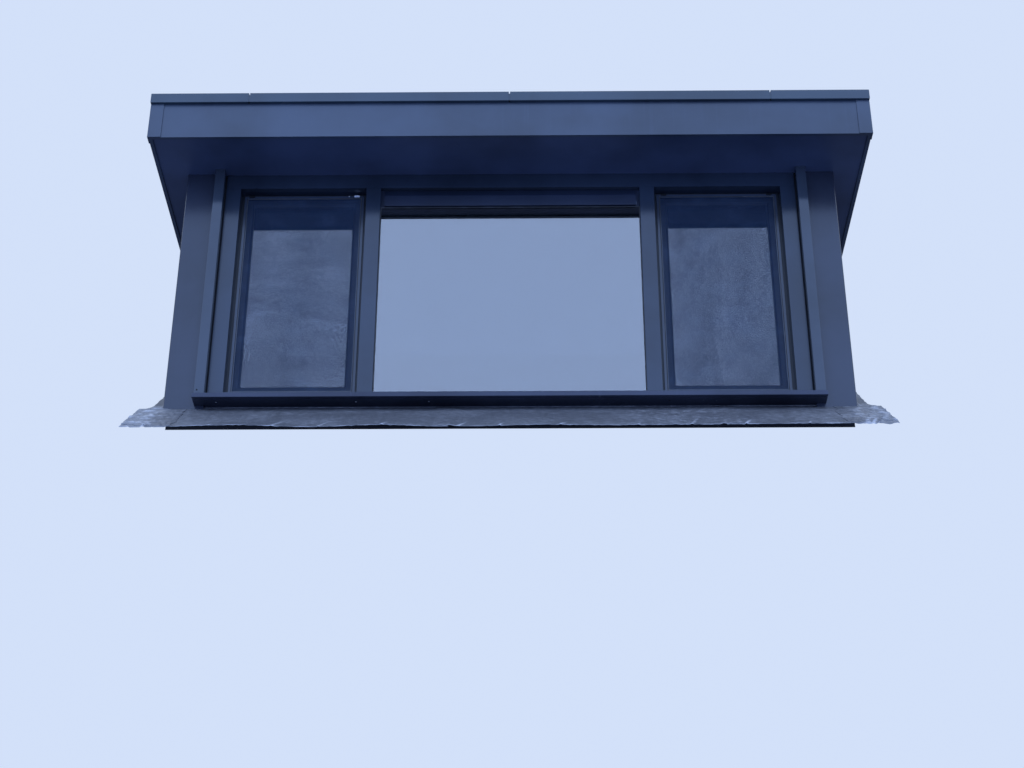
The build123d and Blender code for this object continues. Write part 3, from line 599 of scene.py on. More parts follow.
def revolved(radii, heights, centre):
    """Circles of the given radii at the given heights about an upright axis."""
    turn = np.linspace(0.0, 2 * pi, BARREL_SIDES, endpoint=False)
    circle = np.column_stack([np.cos(turn), np.sin(turn), np.zeros(BARREL_SIDES)])
    rings = np.asarray(radii)[:, None, None] * circle + np.asarray(centre)
    rings[:, :, 2] += np.asarray(heights)[:, None]
    return skin(rings)


def plate(x_low, x_high, y_low, y_high, z_low, z_high, corner, steps=5):
    """Upright plate with round corners: four quarter circles joined in (x, z), carried along Y."""
    turn = np.linspace(0.0, pi / 2, steps)
    quarters = [(x_high - corner, z_high - corner, 0.0), (x_low + corner, z_high - corner, pi / 2),
                (x_low + corner, z_low + corner, pi), (x_high - corner, z_low + corner, 1.5 * pi)]
    outline = np.vstack([
        np.column_stack([x + corner * np.cos(turn + start), z + corner * np.sin(turn + start)])
        for x, z, start in quarters])
    return skin(np.stack([np.column_stack([outline[:, 0], np.full(len(outline), y), outline[:, 1]])
                          for y in (y_low, y_high)]))


def hinge(z):
    """Barrel in front of the gap between sash and frame, with a leaf to either side."""
    sash_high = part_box("right_sash")[1]
    jamb_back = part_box("right_jamb")[1].y
    axis_x = sash_high.x + BARREL_FROM_SASH
    knuckle = HINGE_HEIGHT / KNUCKLE_COUNT
    heights, radii = [-CAP_HEIGHT, -CAP_SHOULDER], [0.35, 0.65]
    for number in range(KNUCKLE_COUNT):
        foot = number * knuckle
        heights += [foot, foot + KNUCKLE_EDGE, foot + knuckle - KNUCKLE_EDGE, foot + knuckle]
        radii += [KNUCKLE_NECK, 1.0, 1.0, KNUCKLE_NECK]
    heights += [HINGE_HEIGHT + CAP_SHOULDER, HINGE_HEIGHT + CAP_HEIGHT]
    radii = np.array(radii + [0.65, 0.35]) * HINGE_RADIUS
    barrel = revolved(radii, heights, (axis_x, sash_high.y + HINGE_RADIUS, z))
    sash_leaf = plate(axis_x - LEAF_WIDTH, axis_x - SASH_LEAF_START,
                      sash_high.y, sash_high.y + LEAF_THICKNESS, z, z + HINGE_HEIGHT, LEAF_CORNER)
    frame_leaf = plate(axis_x + FRAME_LEAF_START, axis_x + LEAF_WIDTH,
                       jamb_back, jamb_back + LEAF_THICKNESS, z, z + HINGE_HEIGHT, LEAF_CORNER)
    screws = [screw_head((x, y + LEAF_THICKNESS, z + share * HINGE_HEIGHT), (0, 1, 0),
                         LEAF_SCREW_RADIUS, LEAF_SCREW_HEAD)
              for x, y in ((axis_x - SASH_LEAF_SCREW, sash_high.y), (axis_x + FRAME_LEAF_SCREW, jamb_back))
              for share in (0.2, 0.8)]
    return together([barrel, sash_leaf, frame_leaf] + screws)


hinge_finish = dark_board("hinge_coat", (0.016, 0.021, 0.032), 0.32)
piece("sash_hinges", on_both_sides(hinge(light_bottom + HINGE_FROM_END - HINGE_HEIGHT / 2),
                                   hinge(light_top - HINGE_FROM_END - HINGE_HEIGHT / 2)),
      hinge_finish)

# Lever handles inside are brushed aluminium, each held by two screws through its plate. The bars
# that hold the panes of a unit apart are dull aluminium with black sealant.
HANDLE_INSET = 0.025
HANDLE_PLATE = 0.008
PLATE_SCREW_SPREAD = 0.023
PLATE_SCREW_RADIUS = 0.0038
PLATE_SCREW_HEAD = 0.0011

handle_metal = Finish("brushed_aluminium", {"Metallic": 1.0})
brushing = handle_metal.noise((900.0, 900.0, 25.0), 3.0)
handle_metal.give("Base Color", handle_metal.blend(brushing, (0.56, 0.57, 0.59), (0.76, 0.77, 0.79)))
handle_metal.give("Roughness", 0.26 + brushing * 0.2)
handle_metal.relief(brushing, 0.00008, 0.5)
coat(handle_metal, "sash_handles")
handle_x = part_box("right_sash")[0].x + HANDLE_INSET
plate_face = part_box("right_sash")[1].y + HANDLE_PLATE
middle_height = (light_bottom + light_top) / 2
piece("handle_screws", on_both_sides(*[
    screw_head((handle_x, plate_face, middle_height + spread), (0, 1, 0),
               PLATE_SCREW_RADIUS, PLATE_SCREW_HEAD)
    for spread in (-PLATE_SCREW_SPREAD, PLATE_SCREW_SPREAD)]), zinc)

spacer_metal = Finish("spacer_bar", {"Metallic": 0.8})
sealant = spacer_metal.noise((60.0, 60.0, 60.0), 2.0)
spacer_metal.give("Base Color", spacer_metal.blend(sealant.rise(0.6, 0.75), (0.23, 0.24, 0.26),
                                                   (0.03, 0.03, 0.035)))
spacer_metal.give("Roughness", 0.38 + sealant * 0.25)
coat(spacer_metal, "glazing_spacers")

# Each light has a sealed unit of two panes with a sun-protection coating, which mirrors the sky
# strongly and keeps the room behind it dark. The panes are a little wavy, so mirrored edges are.
PANE_TINT = (0.21, 0.24, 0.25, 1.0)
PANE_INDEX = 2.52
COATING_TINT = (0.97, 0.90, 0.84, 1.0)

pane_glass = Finish("coated_glass", {"Base Color": PANE_TINT, "Transmission Weight": 1.0,
                                     "IOR": PANE_INDEX, "Specular Tint": COATING_TINT})
film = pane_glass.noise((7.0, 7.0, 5.0), 3.0)
pane_glass.give("Roughness", film.rise(0.45, 0.9) * 0.02)
pane_glass.relief(pane_glass.noise((1.3, 1.3, 1.1), 1.0), 0.0006, 0.3)
coat(pane_glass, "left_glass", "right_glass", "centre_glass")

# Black rubber gaskets close the glass to its frame, in front and behind. Each runs round its
# opening, with a rounded lip, and is cut to a mitre at the corners.
GASKET_FACE = 0.0045
GASKET_DEPTH = 0.004
SASH_OPENING = 0.076
SASH_BEAD_OPENING = 0.081
CENTRE_BEAD_FACE = 0.020

rubber = Finish("black_rubber", {})
rubber_dust = rubber.noise((14.0, 14.0, 14.0), 4.0)
rubber.give("Base Color", rubber.blend(rubber_dust.rise(0.45, 0.8), (0.010, 0.011, 0.013),
                                       (0.045, 0.048, 0.055)))
rubber.give("Roughness", 0.45 + rubber_dust * 0.3)


def round_opening(x_low, x_high, z_low, z_high, section):
    """Section of (inwards, y) points carried round a rectangle, with its corners mitred: a point
    that lies inwards by d is on the rectangle made smaller by d all round."""
    section = np.asarray(section, float)
    corners = [(x_low, z_low, 1, 1), (x_high, z_low, -1, 1),
               (x_high, z_high, -1, -1), (x_low, z_high, 1, -1)]
    rings = np.stack([np.column_stack([x + sx * section[:, 0], section[:, 1], z + sz * section[:, 0]])
                      for x, z, sx, sz in corners])
    return skin(rings, looped=True)


def gasket(x_low, x_high, z_low, z_high, y_glass, towards):
    """Gasket on the glass, on the side that towards gives: -1 in front, 1 in the room. Its face
    is a quarter of an oval that sinks from the frame's edge to the glass."""
    turn = np.linspace(0.0, pi / 2, 4)
    lip = np.column_stack([GASKET_FACE * np.sin(turn), y_glass + towards * GASKET_DEPTH * np.cos(turn)])
    return round_opening(x_low, x_high, z_low, z_high, np.vstack([[(0.0, y_glass)], lip]))


centre_low, centre_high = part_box("centre_glass")
bead_low, bead_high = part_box("centre_glazing_bead")
centre_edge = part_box("right_mullion")[0].x
bead_edge = bead_high.x - CENTRE_BEAD_FACE
piece("centre_glass_gaskets", together([
    gasket(-centre_edge, centre_edge, light_bottom, centre_high.z, centre_low.y, -1),
    gasket(-bead_edge, bead_edge, bead_low.z + CENTRE_BEAD_FACE, bead_high.z - CENTRE_BEAD_FACE,
           centre_high.y, 1)]), rubber)

side_low, side_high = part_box("right_glass")
sash_low, sash_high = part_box("right_sash")
piece("side_glass_gaskets", on_both_sides(*[
    gasket(sash_low.x + inset, sash_high.x - inset, sash_low.z + inset, sash_high.z - inset, y, towards)
    for inset, y, towards in ((SASH_OPENING, side_low.y, -1), (SASH_BEAD_OPENING, side_high.y, 1))]),
    rubber)

# The ventilation grille over the middle light is coated aluminium, with a folded hood in front
# that is open underneath. The right end of the hood is closed by a thin cap, whose pale colour
# is a painted highlight where that end catches the light.
VENT_BASE = (0.010, 0.016, 0.036)
VENT_CAP = 0.0016
VENT_CAP_HIGHLIGHT_BASE = (0.090, 0.105, 0.130)
VENT_CAP_CORNER = 0.0004
HOOD_MARGIN = 0.018
HOOD_SETBACK = 0.010
HOOD_DEPTH = 0.012
HOOD_DROP = 0.020

vent_finish = dark_board("vent_metal", VENT_BASE, 0.30)
coat(vent_finish, "vent_grille")
hood_x = centre_edge - HOOD_MARGIN
hood_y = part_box("right_mullion")[0].y + HOOD_SETBACK
hood_z = centre_high.z
# Pale cap colour: a painted highlight on the hood's right end.
cap_highlight_finish = dark_board("vent_cap", VENT_CAP_HIGHLIGHT_BASE, 0.30)
piece("vent_cap", plate(hood_x, hood_x + VENT_CAP, hood_y, hood_y + HOOD_DEPTH, hood_z,
                        hood_z + HOOD_DROP, VENT_CAP_CORNER), cap_highlight_finish)

# An insect screen stands in front of each sash: a mitred aluminium frame, held by four turn
# buttons, with a round rubber cord that holds the cloth in its groove. One button is white, and
# a bright screw sits beside it.
SCREEN_BASE = (0.026, 0.034, 0.052)
SPLINE_INSET = 0.0145
SPLINE_RADIUS = 0.0022
SPLINE_PROUD = 0.0009
BUTTON_LENGTH = 0.029
BUTTON_HEIGHT = 0.011
BUTTON_THICKNESS = 0.0026
BUTTON_INSET = 0.023
BUTTON_RISE = 0.0035
BUTTON_END_STEPS = 8
BUTTON_SCREW_RADIUS = 0.0045
BUTTON_SCREW_HEAD = 0.0022
BUTTON_WHITE = (0.520, 0.520, 0.540)
BAR_SCREW_OFFSET = 0.026
BAR_SCREW_RADIUS = 0.0026
BAR_SCREW_HEAD = 0.0014

screen_low, screen_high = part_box("right_screen_frame")
screen_finish = dark_board("screen_metal", SCREEN_BASE, 0.22, 0.0, None, mitres("right_screen_frame"))
coat(screen_finish, "left_screen_frame", "right_screen_frame")


def screen_spline():
    """Half-round cord along the inner part of the screen's bars, pressed into the face."""
    turn = np.linspace(0.0, pi, 7)
    section = np.column_stack([SPLINE_INSET - SPLINE_RADIUS * np.cos(turn),
                               screen_low.y - SPLINE_PROUD * np.sin(turn)])
    section = np.vstack([section, [(SPLINE_INSET, screen_low.y + 0.0004)]])
    return round_opening(screen_low.x, screen_high.x, screen_low.z, screen_high.z, section)


def turn_button(x_low, z_low):
    """Plate with half-round ends and a screw at each end, on the face of a screen's bar."""
    face = screen_low.y
    flat = plate(x_low, x_low + BUTTON_LENGTH, face - BUTTON_THICKNESS, face, z_low,
                 z_low + BUTTON_HEIGHT, BUTTON_HEIGHT * 0.49, BUTTON_END_STEPS)
    front, middle = face - BUTTON_THICKNESS, z_low + BUTTON_HEIGHT / 2
    heads = [screw_head((x_low + share * BUTTON_LENGTH, front, middle), (0, -1, 0),
                        BUTTON_SCREW_RADIUS, BUTTON_SCREW_HEAD) for share in (0.25, 0.75)]
    return together([flat] + heads)


piece("screen_splines", on_both_sides(screen_spline()), rubber)
button_ends = (screen_low.x + BUTTON_INSET, screen_high.x - BUTTON_INSET - BUTTON_LENGTH)
button_head = screen_high.z - BUTTON_HEIGHT + BUTTON_RISE
button_foot = screen_low.z - BUTTON_RISE
right_buttons = [turn_button(x, z) for x in button_ends for z in (button_foot, button_head)]
left_dark_buttons = [mirrored(button) for button in right_buttons[:1] + right_buttons[2:]]
piece("screen_buttons", together(right_buttons + left_dark_buttons), dark_screw)
white_plastic = Finish("white_button", {"Roughness": 0.35})
yellowing = white_plastic.noise((90.0, 90.0, 90.0), 3.0)
white_plastic.give("Base Color", white_plastic.blend(yellowing, BUTTON_WHITE,
                                                     tuple(0.86 * c for c in BUTTON_WHITE)))
piece("white_screen_button", mirrored(right_buttons[1]), white_plastic)
piece("screen_screw", screw_head((-button_ends[0] - BUTTON_LENGTH - BAR_SCREW_OFFSET, screen_low.y,
                                  button_head + BUTTON_HEIGHT / 2), (0, -1, 0),
                                 BAR_SCREW_RADIUS, BAR_SCREW_HEAD), zinc)

# The screens' cloth is woven glass fibre, a little slack and dusty. The left one has soft level
# wrinkles, and the right one wide upright waves.
THREAD_PITCH = 0.0016
THREAD_SHARE = 0.27
THREAD_WANDER = 0.0024
THREAD_DARK = (0.018, 0.034, 0.070)
THREAD_DUSTY = (0.062, 0.099, 0.172)
CLOTH_SAG = 0.0012
CLOTH_COLUMNS = 60
CLOTH_ROWS = 120
CLOTH_WAVES = {"left": (3, 0.5, 1.7), "right": (8, 2.1, 0.35)}

cloth = Finish("screen_cloth", {"Roughness": 0.5, "Specular IOR Level": 0.08})
wander = cloth.noise((80.0, 80.0, 80.0), 1.0) * THREAD_WANDER
past_warp = cloth.add("Math", {"operation": "FRACT"}, {0: (cloth.x + wander) / THREAD_PITCH})
past_weft = cloth.add("Math", {"operation": "FRACT"}, {0: (cloth.z + wander) / THREAD_PITCH})
holes = (past_warp > THREAD_SHARE) * (past_weft > THREAD_SHARE)
smudges = cloth.noise((6.0, 6.0, 9.0), 5.0, 0.65, (0.0, 0.5, 0.0)).rise(0.42, 0.85)
cloth.give("Alpha", 1.0 - holes)
cloth.give("Base Color", cloth.blend(smudges * 0.5, THREAD_DARK, THREAD_DUSTY))


def waves(u, v, seed, count, size):
    """Slow random hills over (u, v): a sum of sine waves in random directions, of unit height."""
    draw = np.random.default_rng(seed)
    total = np.zeros(np.broadcast(u, v).shape)
    for _ in range(count):
        turn, phase = draw.uniform(0.0, 2 * pi, 2)
        length = size * draw.uniform(0.5, 1.6)
        total += np.sin(2 * pi * (u * cos(turn) + v * sin(turn)) / length + phase)
    return total / count ** 0.5


def grid_faces(rows, columns):
    """Faces between the points of a grid."""
    index = np.arange(rows * columns).reshape(rows, columns)
    quads = np.stack([index[:-1, :-1], index[:-1, 1:], index[1:, 1:], index[1:, :-1]], axis=-1)
    return quads.reshape(-1, 4)


for side, (seed, crosswise, lengthwise) in CLOTH_WAVES.items():
    low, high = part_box(side + "_screen_cloth")
    across = np.linspace(low.x, high.x, CLOTH_COLUMNS)[None, :]
    upright = np.linspace(low.z, high.z, CLOTH_ROWS)[:, None]
    share_x, share_z = (across - low.x) / (high.x - low.x), (upright - low.z) / (high.z - low.z)
    held = np.sqrt(np.sin(pi * share_x) * np.sin(pi * share_z))
    slack = CLOTH_SAG * held * waves(crosswise * across, lengthwise * upright, seed, 7, 0.5)
    middle = (low.y + high.y) / 2
    grid = np.stack([across + 0.0 * upright, middle + slack, upright + 0.0 * across], axis=-1)
    screen = piece(side + "_cloth", (grid.reshape(-1, 3), grid_faces(CLOTH_ROWS, CLOTH_COLUMNS).tolist()),
                   cloth, (side + "_screen_cloth",))

# Soffit, fascias and corner covers are smooth boards, glued and clipped to the roof's rim. The
# corner covers hide the joints between the front fascia and the two side ones.
# Soffit colour set lighter and bluer than the fascia's: painted light for the light from below.
SOFFIT_PAINTED_LIGHT_BASE = (0.036, 0.050, 0.092)
FASCIA_BASE = (0.033, 0.046, 0.070)
coat(dark_board("soffit_board", SOFFIT_PAINTED_LIGHT_BASE, 0.42), "soffit")
fascia_finish = dark_board("fascia_board", FASCIA_BASE, 0.34, 0.08)
coat(fascia_finish, "front_fascia", "left_fascia", "right_fascia", "fascia_corners")

# The roof's edge trim is coated aluminium in lengths, with a plate behind each joint. Its return
# hooks over the fascia, and its flange lies on the kerb.
TRIM_BASE = (0.026, 0.041, 0.056)
trim_finish = dark_board("trim_metal", TRIM_BASE, 0.26)
coat(trim_finish, "front_roof_trim", "left_roof_trim", "right_roof_trim", "trim_joint_plates")

# The flat roof is covered with a rubber sheet in widths that are lapped and glued, turned up over
# the kerb and, at the back, up the slope. Dust has settled where rain stands and dries.
MEMBRANE_DARK = (0.020, 0.022, 0.026)
MEMBRANE_DUSTY = (0.085, 0.092, 0.100)
SEAM_PLACES = (-0.62, 0.62)
SEAM_WIDTH = 0.060
SEAM_THICKNESS = 0.0018
SEAM_BEVEL = 0.004
SEAM_CUT = 0.001
SEAM_END_GAP = 0.020
KERB_WIDTH = 0.060
MEMBRANE_THICKNESS = 0.003

membrane = Finish("roof_membrane", {})
puddles = membrane.noise((1.1, 1.1, 1.1), 5.0, 0.6)
grit = membrane.noise((240.0, 240.0, 240.0), 3.0)
ripples = membrane.noise((3.0, 1.2, 3.0), 2.0)
membrane.give("Base Color", membrane.blend(puddles.rise(0.40, 0.72) * 0.7 + grit * 0.2,
                                           MEMBRANE_DARK, MEMBRANE_DUSTY))
membrane.give("Roughness", 0.55 + puddles * 0.3)
membrane.relief(grit * 0.1 + ripples * 0.9, 0.006, 0.5)
coat(membrane, "roof_membrane")


def membrane_seam(x_middle):
    """Lapped edge of a sheet: a flat outline of (x, height), carried back over the roof and up
    the flap, where the height is taken square to the sheet."""
    kerb_low, sheet_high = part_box("roof_kerb")[0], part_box("roof_membrane")[1]
    roof_top = kerb_low.z + MEMBRANE_THICKNESS
    knee_back = (roof_top - MEMBRANE_THICKNESS / cos(ROOF_PITCH)) / tan(ROOF_PITCH)
    flap_run = sheet_high.z - roof_top - SEAM_END_GAP * sin(ROOF_PITCH)
    path = np.array([(kerb_low.y + KERB_WIDTH + MEMBRANE_THICKNESS, roof_top), (knee_back, roof_top),
                     (knee_back + flap_run / tan(ROOF_PITCH), roof_top + flap_run)])
    lean = np.array([0.0, ROOF_PITCH / 2, ROOF_PITCH])
    square = np.column_stack([-np.sin(lean), np.cos(lean)]) / np.cos([0.0, ROOF_PITCH / 2, 0.0])[:, None]
    half = SEAM_WIDTH / 2
    outline = np.array([(-half, 0.0), (-half + SEAM_BEVEL, SEAM_THICKNESS),
                        (half - SEAM_CUT, SEAM_THICKNESS), (half, 0.0)])
    rings = np.empty((len(path), len(outline), 3))
    rings[:, :, 0] = x_middle + outline[:, 0]
    rings[:, :, 1:] = path[:, None, :] + outline[None, :, 1:] * square[:, None, :]
    return skin(rings)


piece("membrane_seams", together([membrane_seam(x) for x in SEAM_PLACES]), membrane)

# Lead sheet closes the foot of the dormer. The apron in front is dressed down the slope in three
# lengths that lap, and keeps its hammer dents and its folds. Its lower edge runs a little wavy,
# and its long lie in the wet has left it mottled.
LEAD_THICKNESS = 0.0022
LAP_LIFT = 1.15 * LEAD_THICKNESS
LEAD_STEP = 0.0042
APRON_SIDE_GAP = 0.005
APRON_ROWS = 36
APRON_LAPS = (-0.310, 1.060)
LAP_WIDTH = 0.070
FOLD_STEP = 0.272
FOLD_COUNT = 13
CRUMPLED_FROM = (1.52, 1.62)
RUBBED_FROM = (1.55, 1.66)
PALEST_FROM = (1.64, 1.70)
LEAD_BRIGHT_SPAN = (0.525, 1.062)
RUBBED_AND_HIGHLIT_LEAD = (0.520, 0.520, 0.540)

casing_low, casing_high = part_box("right_casing")
apron_low, apron_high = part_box("lead_apron")
cheek_side = casing_high.x
down_to_foot = (casing_low.y - apron_low.y) / cos(ROOF_PITCH)


def step_up(values, low, high):
    """Smooth step: 0 up to the low value, 1 from the high one."""
    share = np.clip((values - low) / (high - low), 0.0, 1.0)
    return share * share * (3.0 - 2.0 * share)


def creases(u, v, seed, count, size):
    """Sharp ridges over (u, v): a mean value less the sizes of sine waves in random directions."""
    draw = np.random.default_rng(seed)
    total = np.zeros(np.broadcast(u, v).shape)
    for _ in range(count):
        turn, phase = draw.uniform(0.0, 2 * pi, 2)
        length = size * draw.uniform(0.6, 1.7)
        total += 2 / pi - np.abs(np.sin(pi * (u * cos(turn) + v * sin(turn)) / length + phase))
    return total / count ** 0.5


def folds(x, down):
    """Narrow ridges about a foot apart that climb from the lower edge and lean to the right."""
    draw = np.random.default_rng(11)
    place = (np.arange(FOLD_COUNT) - (FOLD_COUNT - 1) / 2) * FOLD_STEP
    place = place + draw.uniform(-0.05, 0.05, FOLD_COUNT)
    lean = draw.uniform(0.10, 0.45, FOLD_COUNT)
    width = draw.uniform(0.0045, 0.0070, FOLD_COUNT)
    height = draw.uniform(0.0015, 0.0050, FOLD_COUNT)
    reach = draw.uniform(0.06, 0.22, FOLD_COUNT)
    x, down = x[..., None], down[..., None]
    ridge = np.exp(-((x - place - lean * (down_to_foot - down)) / width) ** 2)
    return np.sum(height * ridge * step_up(down, down_to_foot - reach, down_to_foot), axis=-1)


def crumples(x, down):
    """Height of the creases at the two corners, at two sizes."""
    coarse, fine = creases(x, down, 55, 5, 0.100), creases(x, down, 58, 6, 0.038)
    return (0.0062 * coarse + 0.0040 * fine) * step_up(np.abs(x), *CRUMPLED_FROM)


def dressed(x, y):
    """Height of the lead over the slope it lies on: low hills, folds, hammer dents and, at the two
    corners, crumples. It fades to nothing towards the wall, where the lead is held down."""
    down = (casing_low.y - y) / cos(ROOF_PITCH)
    hills = 0.0022 * (1.0 + waves(x, down, 21, 6, 0.42)) * (0.5 + step_up(down, 0.1, 0.45))
    dents = 0.0007 * waves(x, down, 34, 12, 0.045)
    height = hills + folds(x, down) + dents + crumples(x, down)
    beside_casing = step_up(np.abs(x), cheek_side, cheek_side + 0.03) * step_up(down, -0.05, 0.04)
    return np.maximum(height, 0.0) * np.maximum(step_up(down, 0.02, 0.12), beside_casing)


def rub_and_highlight(lead_piece):
    """Store at each point how much its metal is lightened: rubbed paler at the corners, most of
    all at the left end, with painted highlights on the folds, on the crests of the corners'
    creases and along the lower edge."""
    points = np.empty(3 * len(lead_piece.data.vertices))
    lead_piece.data.vertices.foreach_get("co", points)
    x, y, _ = points.reshape(-1, 3).T
    down = (casing_low.y - y) / cos(ROOF_PITCH)
    corner = step_up(np.abs(x), *RUBBED_FROM) * step_up(down, -0.10, 0.0)
    # The crests of the corners' creases get a painted highlight.
    worn_and_crest_lit = 0.12 + 0.20 * step_up(-x, *PALEST_FROM) + np.maximum(crumples(x, down), 0.0) / 0.0075
    share = folds(x, down) / 0.0030 + corner * worn_and_crest_lit
    # A painted highlight along the lower edge.
    edge = step_up(down, down_to_foot - 0.016, down_to_foot - 0.004)
    edge = edge * (0.20 + 0.25 * waves(x, down, 3, 9, 0.12))
    stored = lead_piece.data.attributes.new("rubbed_and_highlit", "FLOAT", "POINT")
    stored.data.foreach_set("value", np.clip(share + edge, 0.0, 1.0))


def lead_sheet(x, y, raised):
    """Closed sheet over a grid of places (x, y). It lies this much above its dressed height over
    a plane that passes through the foot of the casings and climbs by the pitch."""
    foot = casing_low.z + (y - casing_low.y) * tan(ROOF_PITCH)
    foot = foot + (dressed(x, y) + raised) / cos(ROOF_PITCH)
    lower = np.stack([x, y, foot], axis=-1)
    upper = lower + (0.0, 0.0, LEAD_THICKNESS / cos(ROOF_PITCH))
    rows, columns = x.shape
    top = grid_faces(rows, columns)
    index = np.arange(rows * columns).reshape(rows, columns)
    rim = np.concatenate([index[0, :-1], index[:-1, -1], index[-1, :0:-1], index[:0:-1, 0]])
    after = np.roll(rim, -1)
    sides = np.column_stack([after, rim, rim + rows * columns, after + rows * columns])
    faces = np.vstack([top, top[:, ::-1] + rows * columns, sides])
    return np.vstack([upper.reshape(-1, 3), lower.reshape(-1, 3)]), faces.tolist()


def apron_length(x_low, x_high, over_left, over_right):
    """One length of the apron. Where it laps over its neighbour, it climbs by a thickness."""
    columns = int((x_high - x_low) / LEAD_STEP) + 1
    x = np.linspace(x_low, x_high, columns)[None, :] + np.zeros((APRON_ROWS, 1))
    foot = apron_low.y + 0.0006 + 0.0026 * np.clip(1.0 + waves(x[:1], 0.0 * x[:1], 5, 6, 0.30), 0.0, 2.4)
    share = np.linspace(0.0, 1.0, APRON_ROWS)[:, None]
    y = foot + (apron_high.y - LEAD_THICKNESS - foot) * share
    raised = np.full(x.shape, -LEAD_THICKNESS)
    crumpled = 0.0022 * step_up(-share, -0.9, -0.2) * np.clip(waves(x, y, 71, 5, 0.06), 0.0, 2.0)
    lift = LAP_LIFT + crumpled
    if over_left:
        raised += lift * step_up(x_low + 2.0 * LAP_WIDTH - x, 0.0, LAP_WIDTH)
    if over_right:
        raised += lift * step_up(x - x_high + 2.0 * LAP_WIDTH, 0.0, LAP_WIDTH)
    return lead_sheet(x, y, raised)


def apron_upstand():
    """Strip of lead against the front sole, behind the sill."""
    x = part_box("right_casing")[0].x
    foot = casing_low.z + (apron_high.y - casing_low.y) * tan(ROOF_PITCH) - LEAD_THICKNESS
    outline = [(apron_high.y - LEAD_THICKNESS, foot), (apron_high.y, foot),
               (apron_high.y, apron_high.z), (apron_high.y - LEAD_THICKNESS, apron_high.z)]
    return skin(np.array([[(end, y, z) for y, z in outline] for end in (-x, x)]))


def lead_finish(name, fresh, dull, bright_span=None):
    """Lead dulled in small clouds, with fine bright ticks from the mallet, darker runs of water,
    and paler metal where it is rubbed and where a highlight is painted, as stored on the piece."""
    lead = Finish(name, {"Metallic": 0.25})
    bloom = lead.noise((3.0, 5.0, 5.0), 4.0, 0.6)
    mottle = lead.noise((34.0, 44.0, 44.0), 6.0, 0.66)
    ticks = lead.noise((150.0, 60.0, 60.0), 2.0).rise(0.60, 0.72)
    runs = lead.noise((16.0, 2.5, 2.5), 4.0).rise(0.52, 0.78)
    rubbed_and_highlit = lead.add("Attribute", {"attribute_name": "rubbed_and_highlit"}, {}, "Fac")
    freshness = bloom.rise(0.30, 0.75) * 0.35 + mottle.rise(0.38, 0.72) * 0.40
    freshness = freshness + ticks * mottle * 0.35
    if bright_span:
        low, high = bright_span
        inside = lead.x.rise(low - 0.06, low + 0.06) * lead.x.rise(high + 0.002, high - 0.002)
        freshness = freshness + inside * (mottle.rise(0.45, 0.65) * 0.20 + ticks * 0.3)
    tone = lead.blend(freshness.rise(0.0, 1.2), dull, fresh)
    tone = lead.blend(runs * 0.35, tone, tuple(0.6 * channel for channel in dull))
    # Paler where rubbed, with painted highlights on the folds, crests and lower edge.
    lead.give("Base Color", lead.blend(rubbed_and_highlit * 0.8, tone, RUBBED_AND_HIGHLIT_LEAD))
    lead.give("Roughness", 0.40 + mottle * 0.30)
    lead.relief(mottle * 0.7 + ticks * 0.3, 0.004, 0.6)
    return lead


apron_finish = lead_finish("apron_lead", (0.300, 0.300, 0.315), (0.092, 0.094, 0.104),
                           LEAD_BRIGHT_SPAN)
apron_edge = -apron_low.x - APRON_SIDE_GAP
lap_left, lap_right = APRON_LAPS
rub_and_highlight(piece("lead_apron_dressed", together([
    apron_length(-apron_edge, lap_left + LAP_WIDTH / 2, False, False),
    apron_length(lap_left - LAP_WIDTH / 2, lap_right, True, True),
    apron_length(lap_right - LAP_WIDTH, apron_edge, False, False),
    apron_upstand()]), apron_finish, ("lead_apron",), radians(42.0)))

# Along each cheek the lead is laid in two lengths, turned up behind the cladding. At the foot it
# is worked round the casing's corner, and laps over the apron with a crumpled, paler end, whose
# crests carry a painted highlight.
CORNER_REACH = 0.118
CORNER_LAP_BACK = 0.012
CORNER_SIDE_GAP = 0.004
STRIP_SIDE_GAP = 0.062
CASING_CLEARANCE = 0.0006
TURN_UP = 0.012
UPSTAND_HEIGHT = 0.098
FLASHING_COLUMNS = 54
FLASHING_JOINT = 0.72
FLASHING_LAP = 0.10

wide_edge = apron_high.x - CORNER_SIDE_GAP


def flashing_edges(y, sign):
    """Outer and inner edge at each depth: from a wide lobe in front of the casing to a narrow
    strip beside it, and from the cladding's front on, in under the cladding."""
    wander = 0.006 * waves(y, 0.0 * y + sign, 90, 5, 0.10)
    wide = wide_edge - np.abs(wander)
    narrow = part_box("right_lead_flashing")[1].x - STRIP_SIDE_GAP - 0.5 * np.abs(wander)
    outer = wide + (narrow - wide) * step_up(y, -0.150, -0.030)
    lobe = cheek_side - CORNER_REACH + wander
    beside = cheek_side + CASING_CLEARANCE
    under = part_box("right_lead_flashing")[0].x + LEAD_THICKNESS
    inner = np.where(y < casing_low.y - 0.003, lobe, np.where(y < casing_high.y + 0.002, beside, under))
    return outer, inner


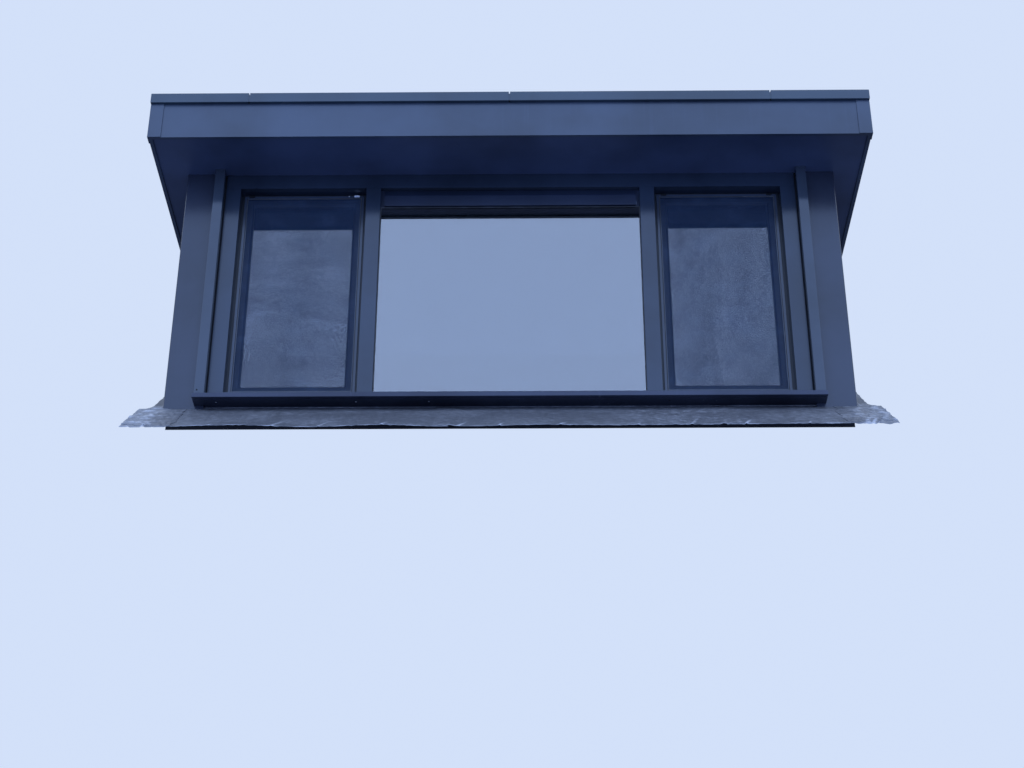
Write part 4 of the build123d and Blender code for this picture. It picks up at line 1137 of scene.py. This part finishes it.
def flashing(sign):
    """Two lapped strips and the upstand behind the cladding. Rows of points follow the depth."""
    cladding_front = casing_high.y
    side_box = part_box("right_lead_flashing")
    start, end = apron_low.y + CORNER_LAP_BACK, side_box[1].y
    casing_front = casing_low.y
    first = np.concatenate([
        np.linspace(start, casing_front - 0.004, 80),
        np.linspace(casing_front - 0.0025, cladding_front, 26),
        np.linspace(cladding_front + 0.003, FLASHING_JOINT + FLASHING_LAP / 2, 60)])
    second = np.linspace(FLASHING_JOINT - FLASHING_LAP / 2, end, 70)
    strips = []
    for rows, over in ((first, 0.0), (second, LAP_LIFT)):
        outer, inner = flashing_edges(rows, sign)
        share = np.linspace(0.0, 1.0, FLASHING_COLUMNS)[None, :] ** 1.3
        distance = inner[:, None] + (outer - inner)[:, None] * share
        y = rows[:, None] + 0.0 * share
        lobe_wave = 0.004 * waves(distance, 0.0 * y + sign, 97, 5, 0.07)
        lobe_wave = np.maximum(lobe_wave, -0.004) + 0.034 * step_up(distance, 1.60, wide_edge)
        y = y + lobe_wave * step_up(-y, -start - 0.10, -start)
        turned = TURN_UP * (1.0 - step_up(distance - cheek_side, 0.0, 0.018))
        turned = turned * step_up(y, casing_front - 0.003, casing_front + 0.02)
        turned = turned * step_up(-y, -cladding_front - 0.004, -cladding_front + 0.02)
        hollows = 0.0010 * (1.0 + waves(distance, y, 40 + int(sign), 8, 0.16))
        hollows = hollows * step_up(y, -0.06, 0.12)
        lap_end = FLASHING_JOINT + 0.5 * FLASHING_LAP
        lap = over * step_up(-y, -lap_end - 1.1 * FLASHING_LAP, -lap_end)
        strips.append(lead_sheet(sign * distance, y, turned + hollows + lap + 0.0003))
    upstand_low = side_box[0].x
    face = np.array([(upstand_low, 0.0), (upstand_low + LEAD_THICKNESS, 0.0),
                     (upstand_low + LEAD_THICKNESS, UPSTAND_HEIGHT), (upstand_low, UPSTAND_HEIGHT)])
    rings = []
    for y in (cladding_front, end):
        cover = casing_low.z + (y - casing_low.y) * tan(ROOF_PITCH)
        rings.append(np.column_stack([sign * face[:, 0], np.full(4, y), cover + face[:, 1]]))
    return together(strips + [skin(np.stack(rings))])


corner_finish = lead_finish("corner_lead", (0.330, 0.330, 0.345), (0.080, 0.082, 0.092))
for side, sign in (("left", -1.0), ("right", 1.0)):
    rub_and_highlight(piece(side + "_flashing_dressed", flashing(sign), corner_finish,
              (side + "_lead_flashing",), radians(38.0)))
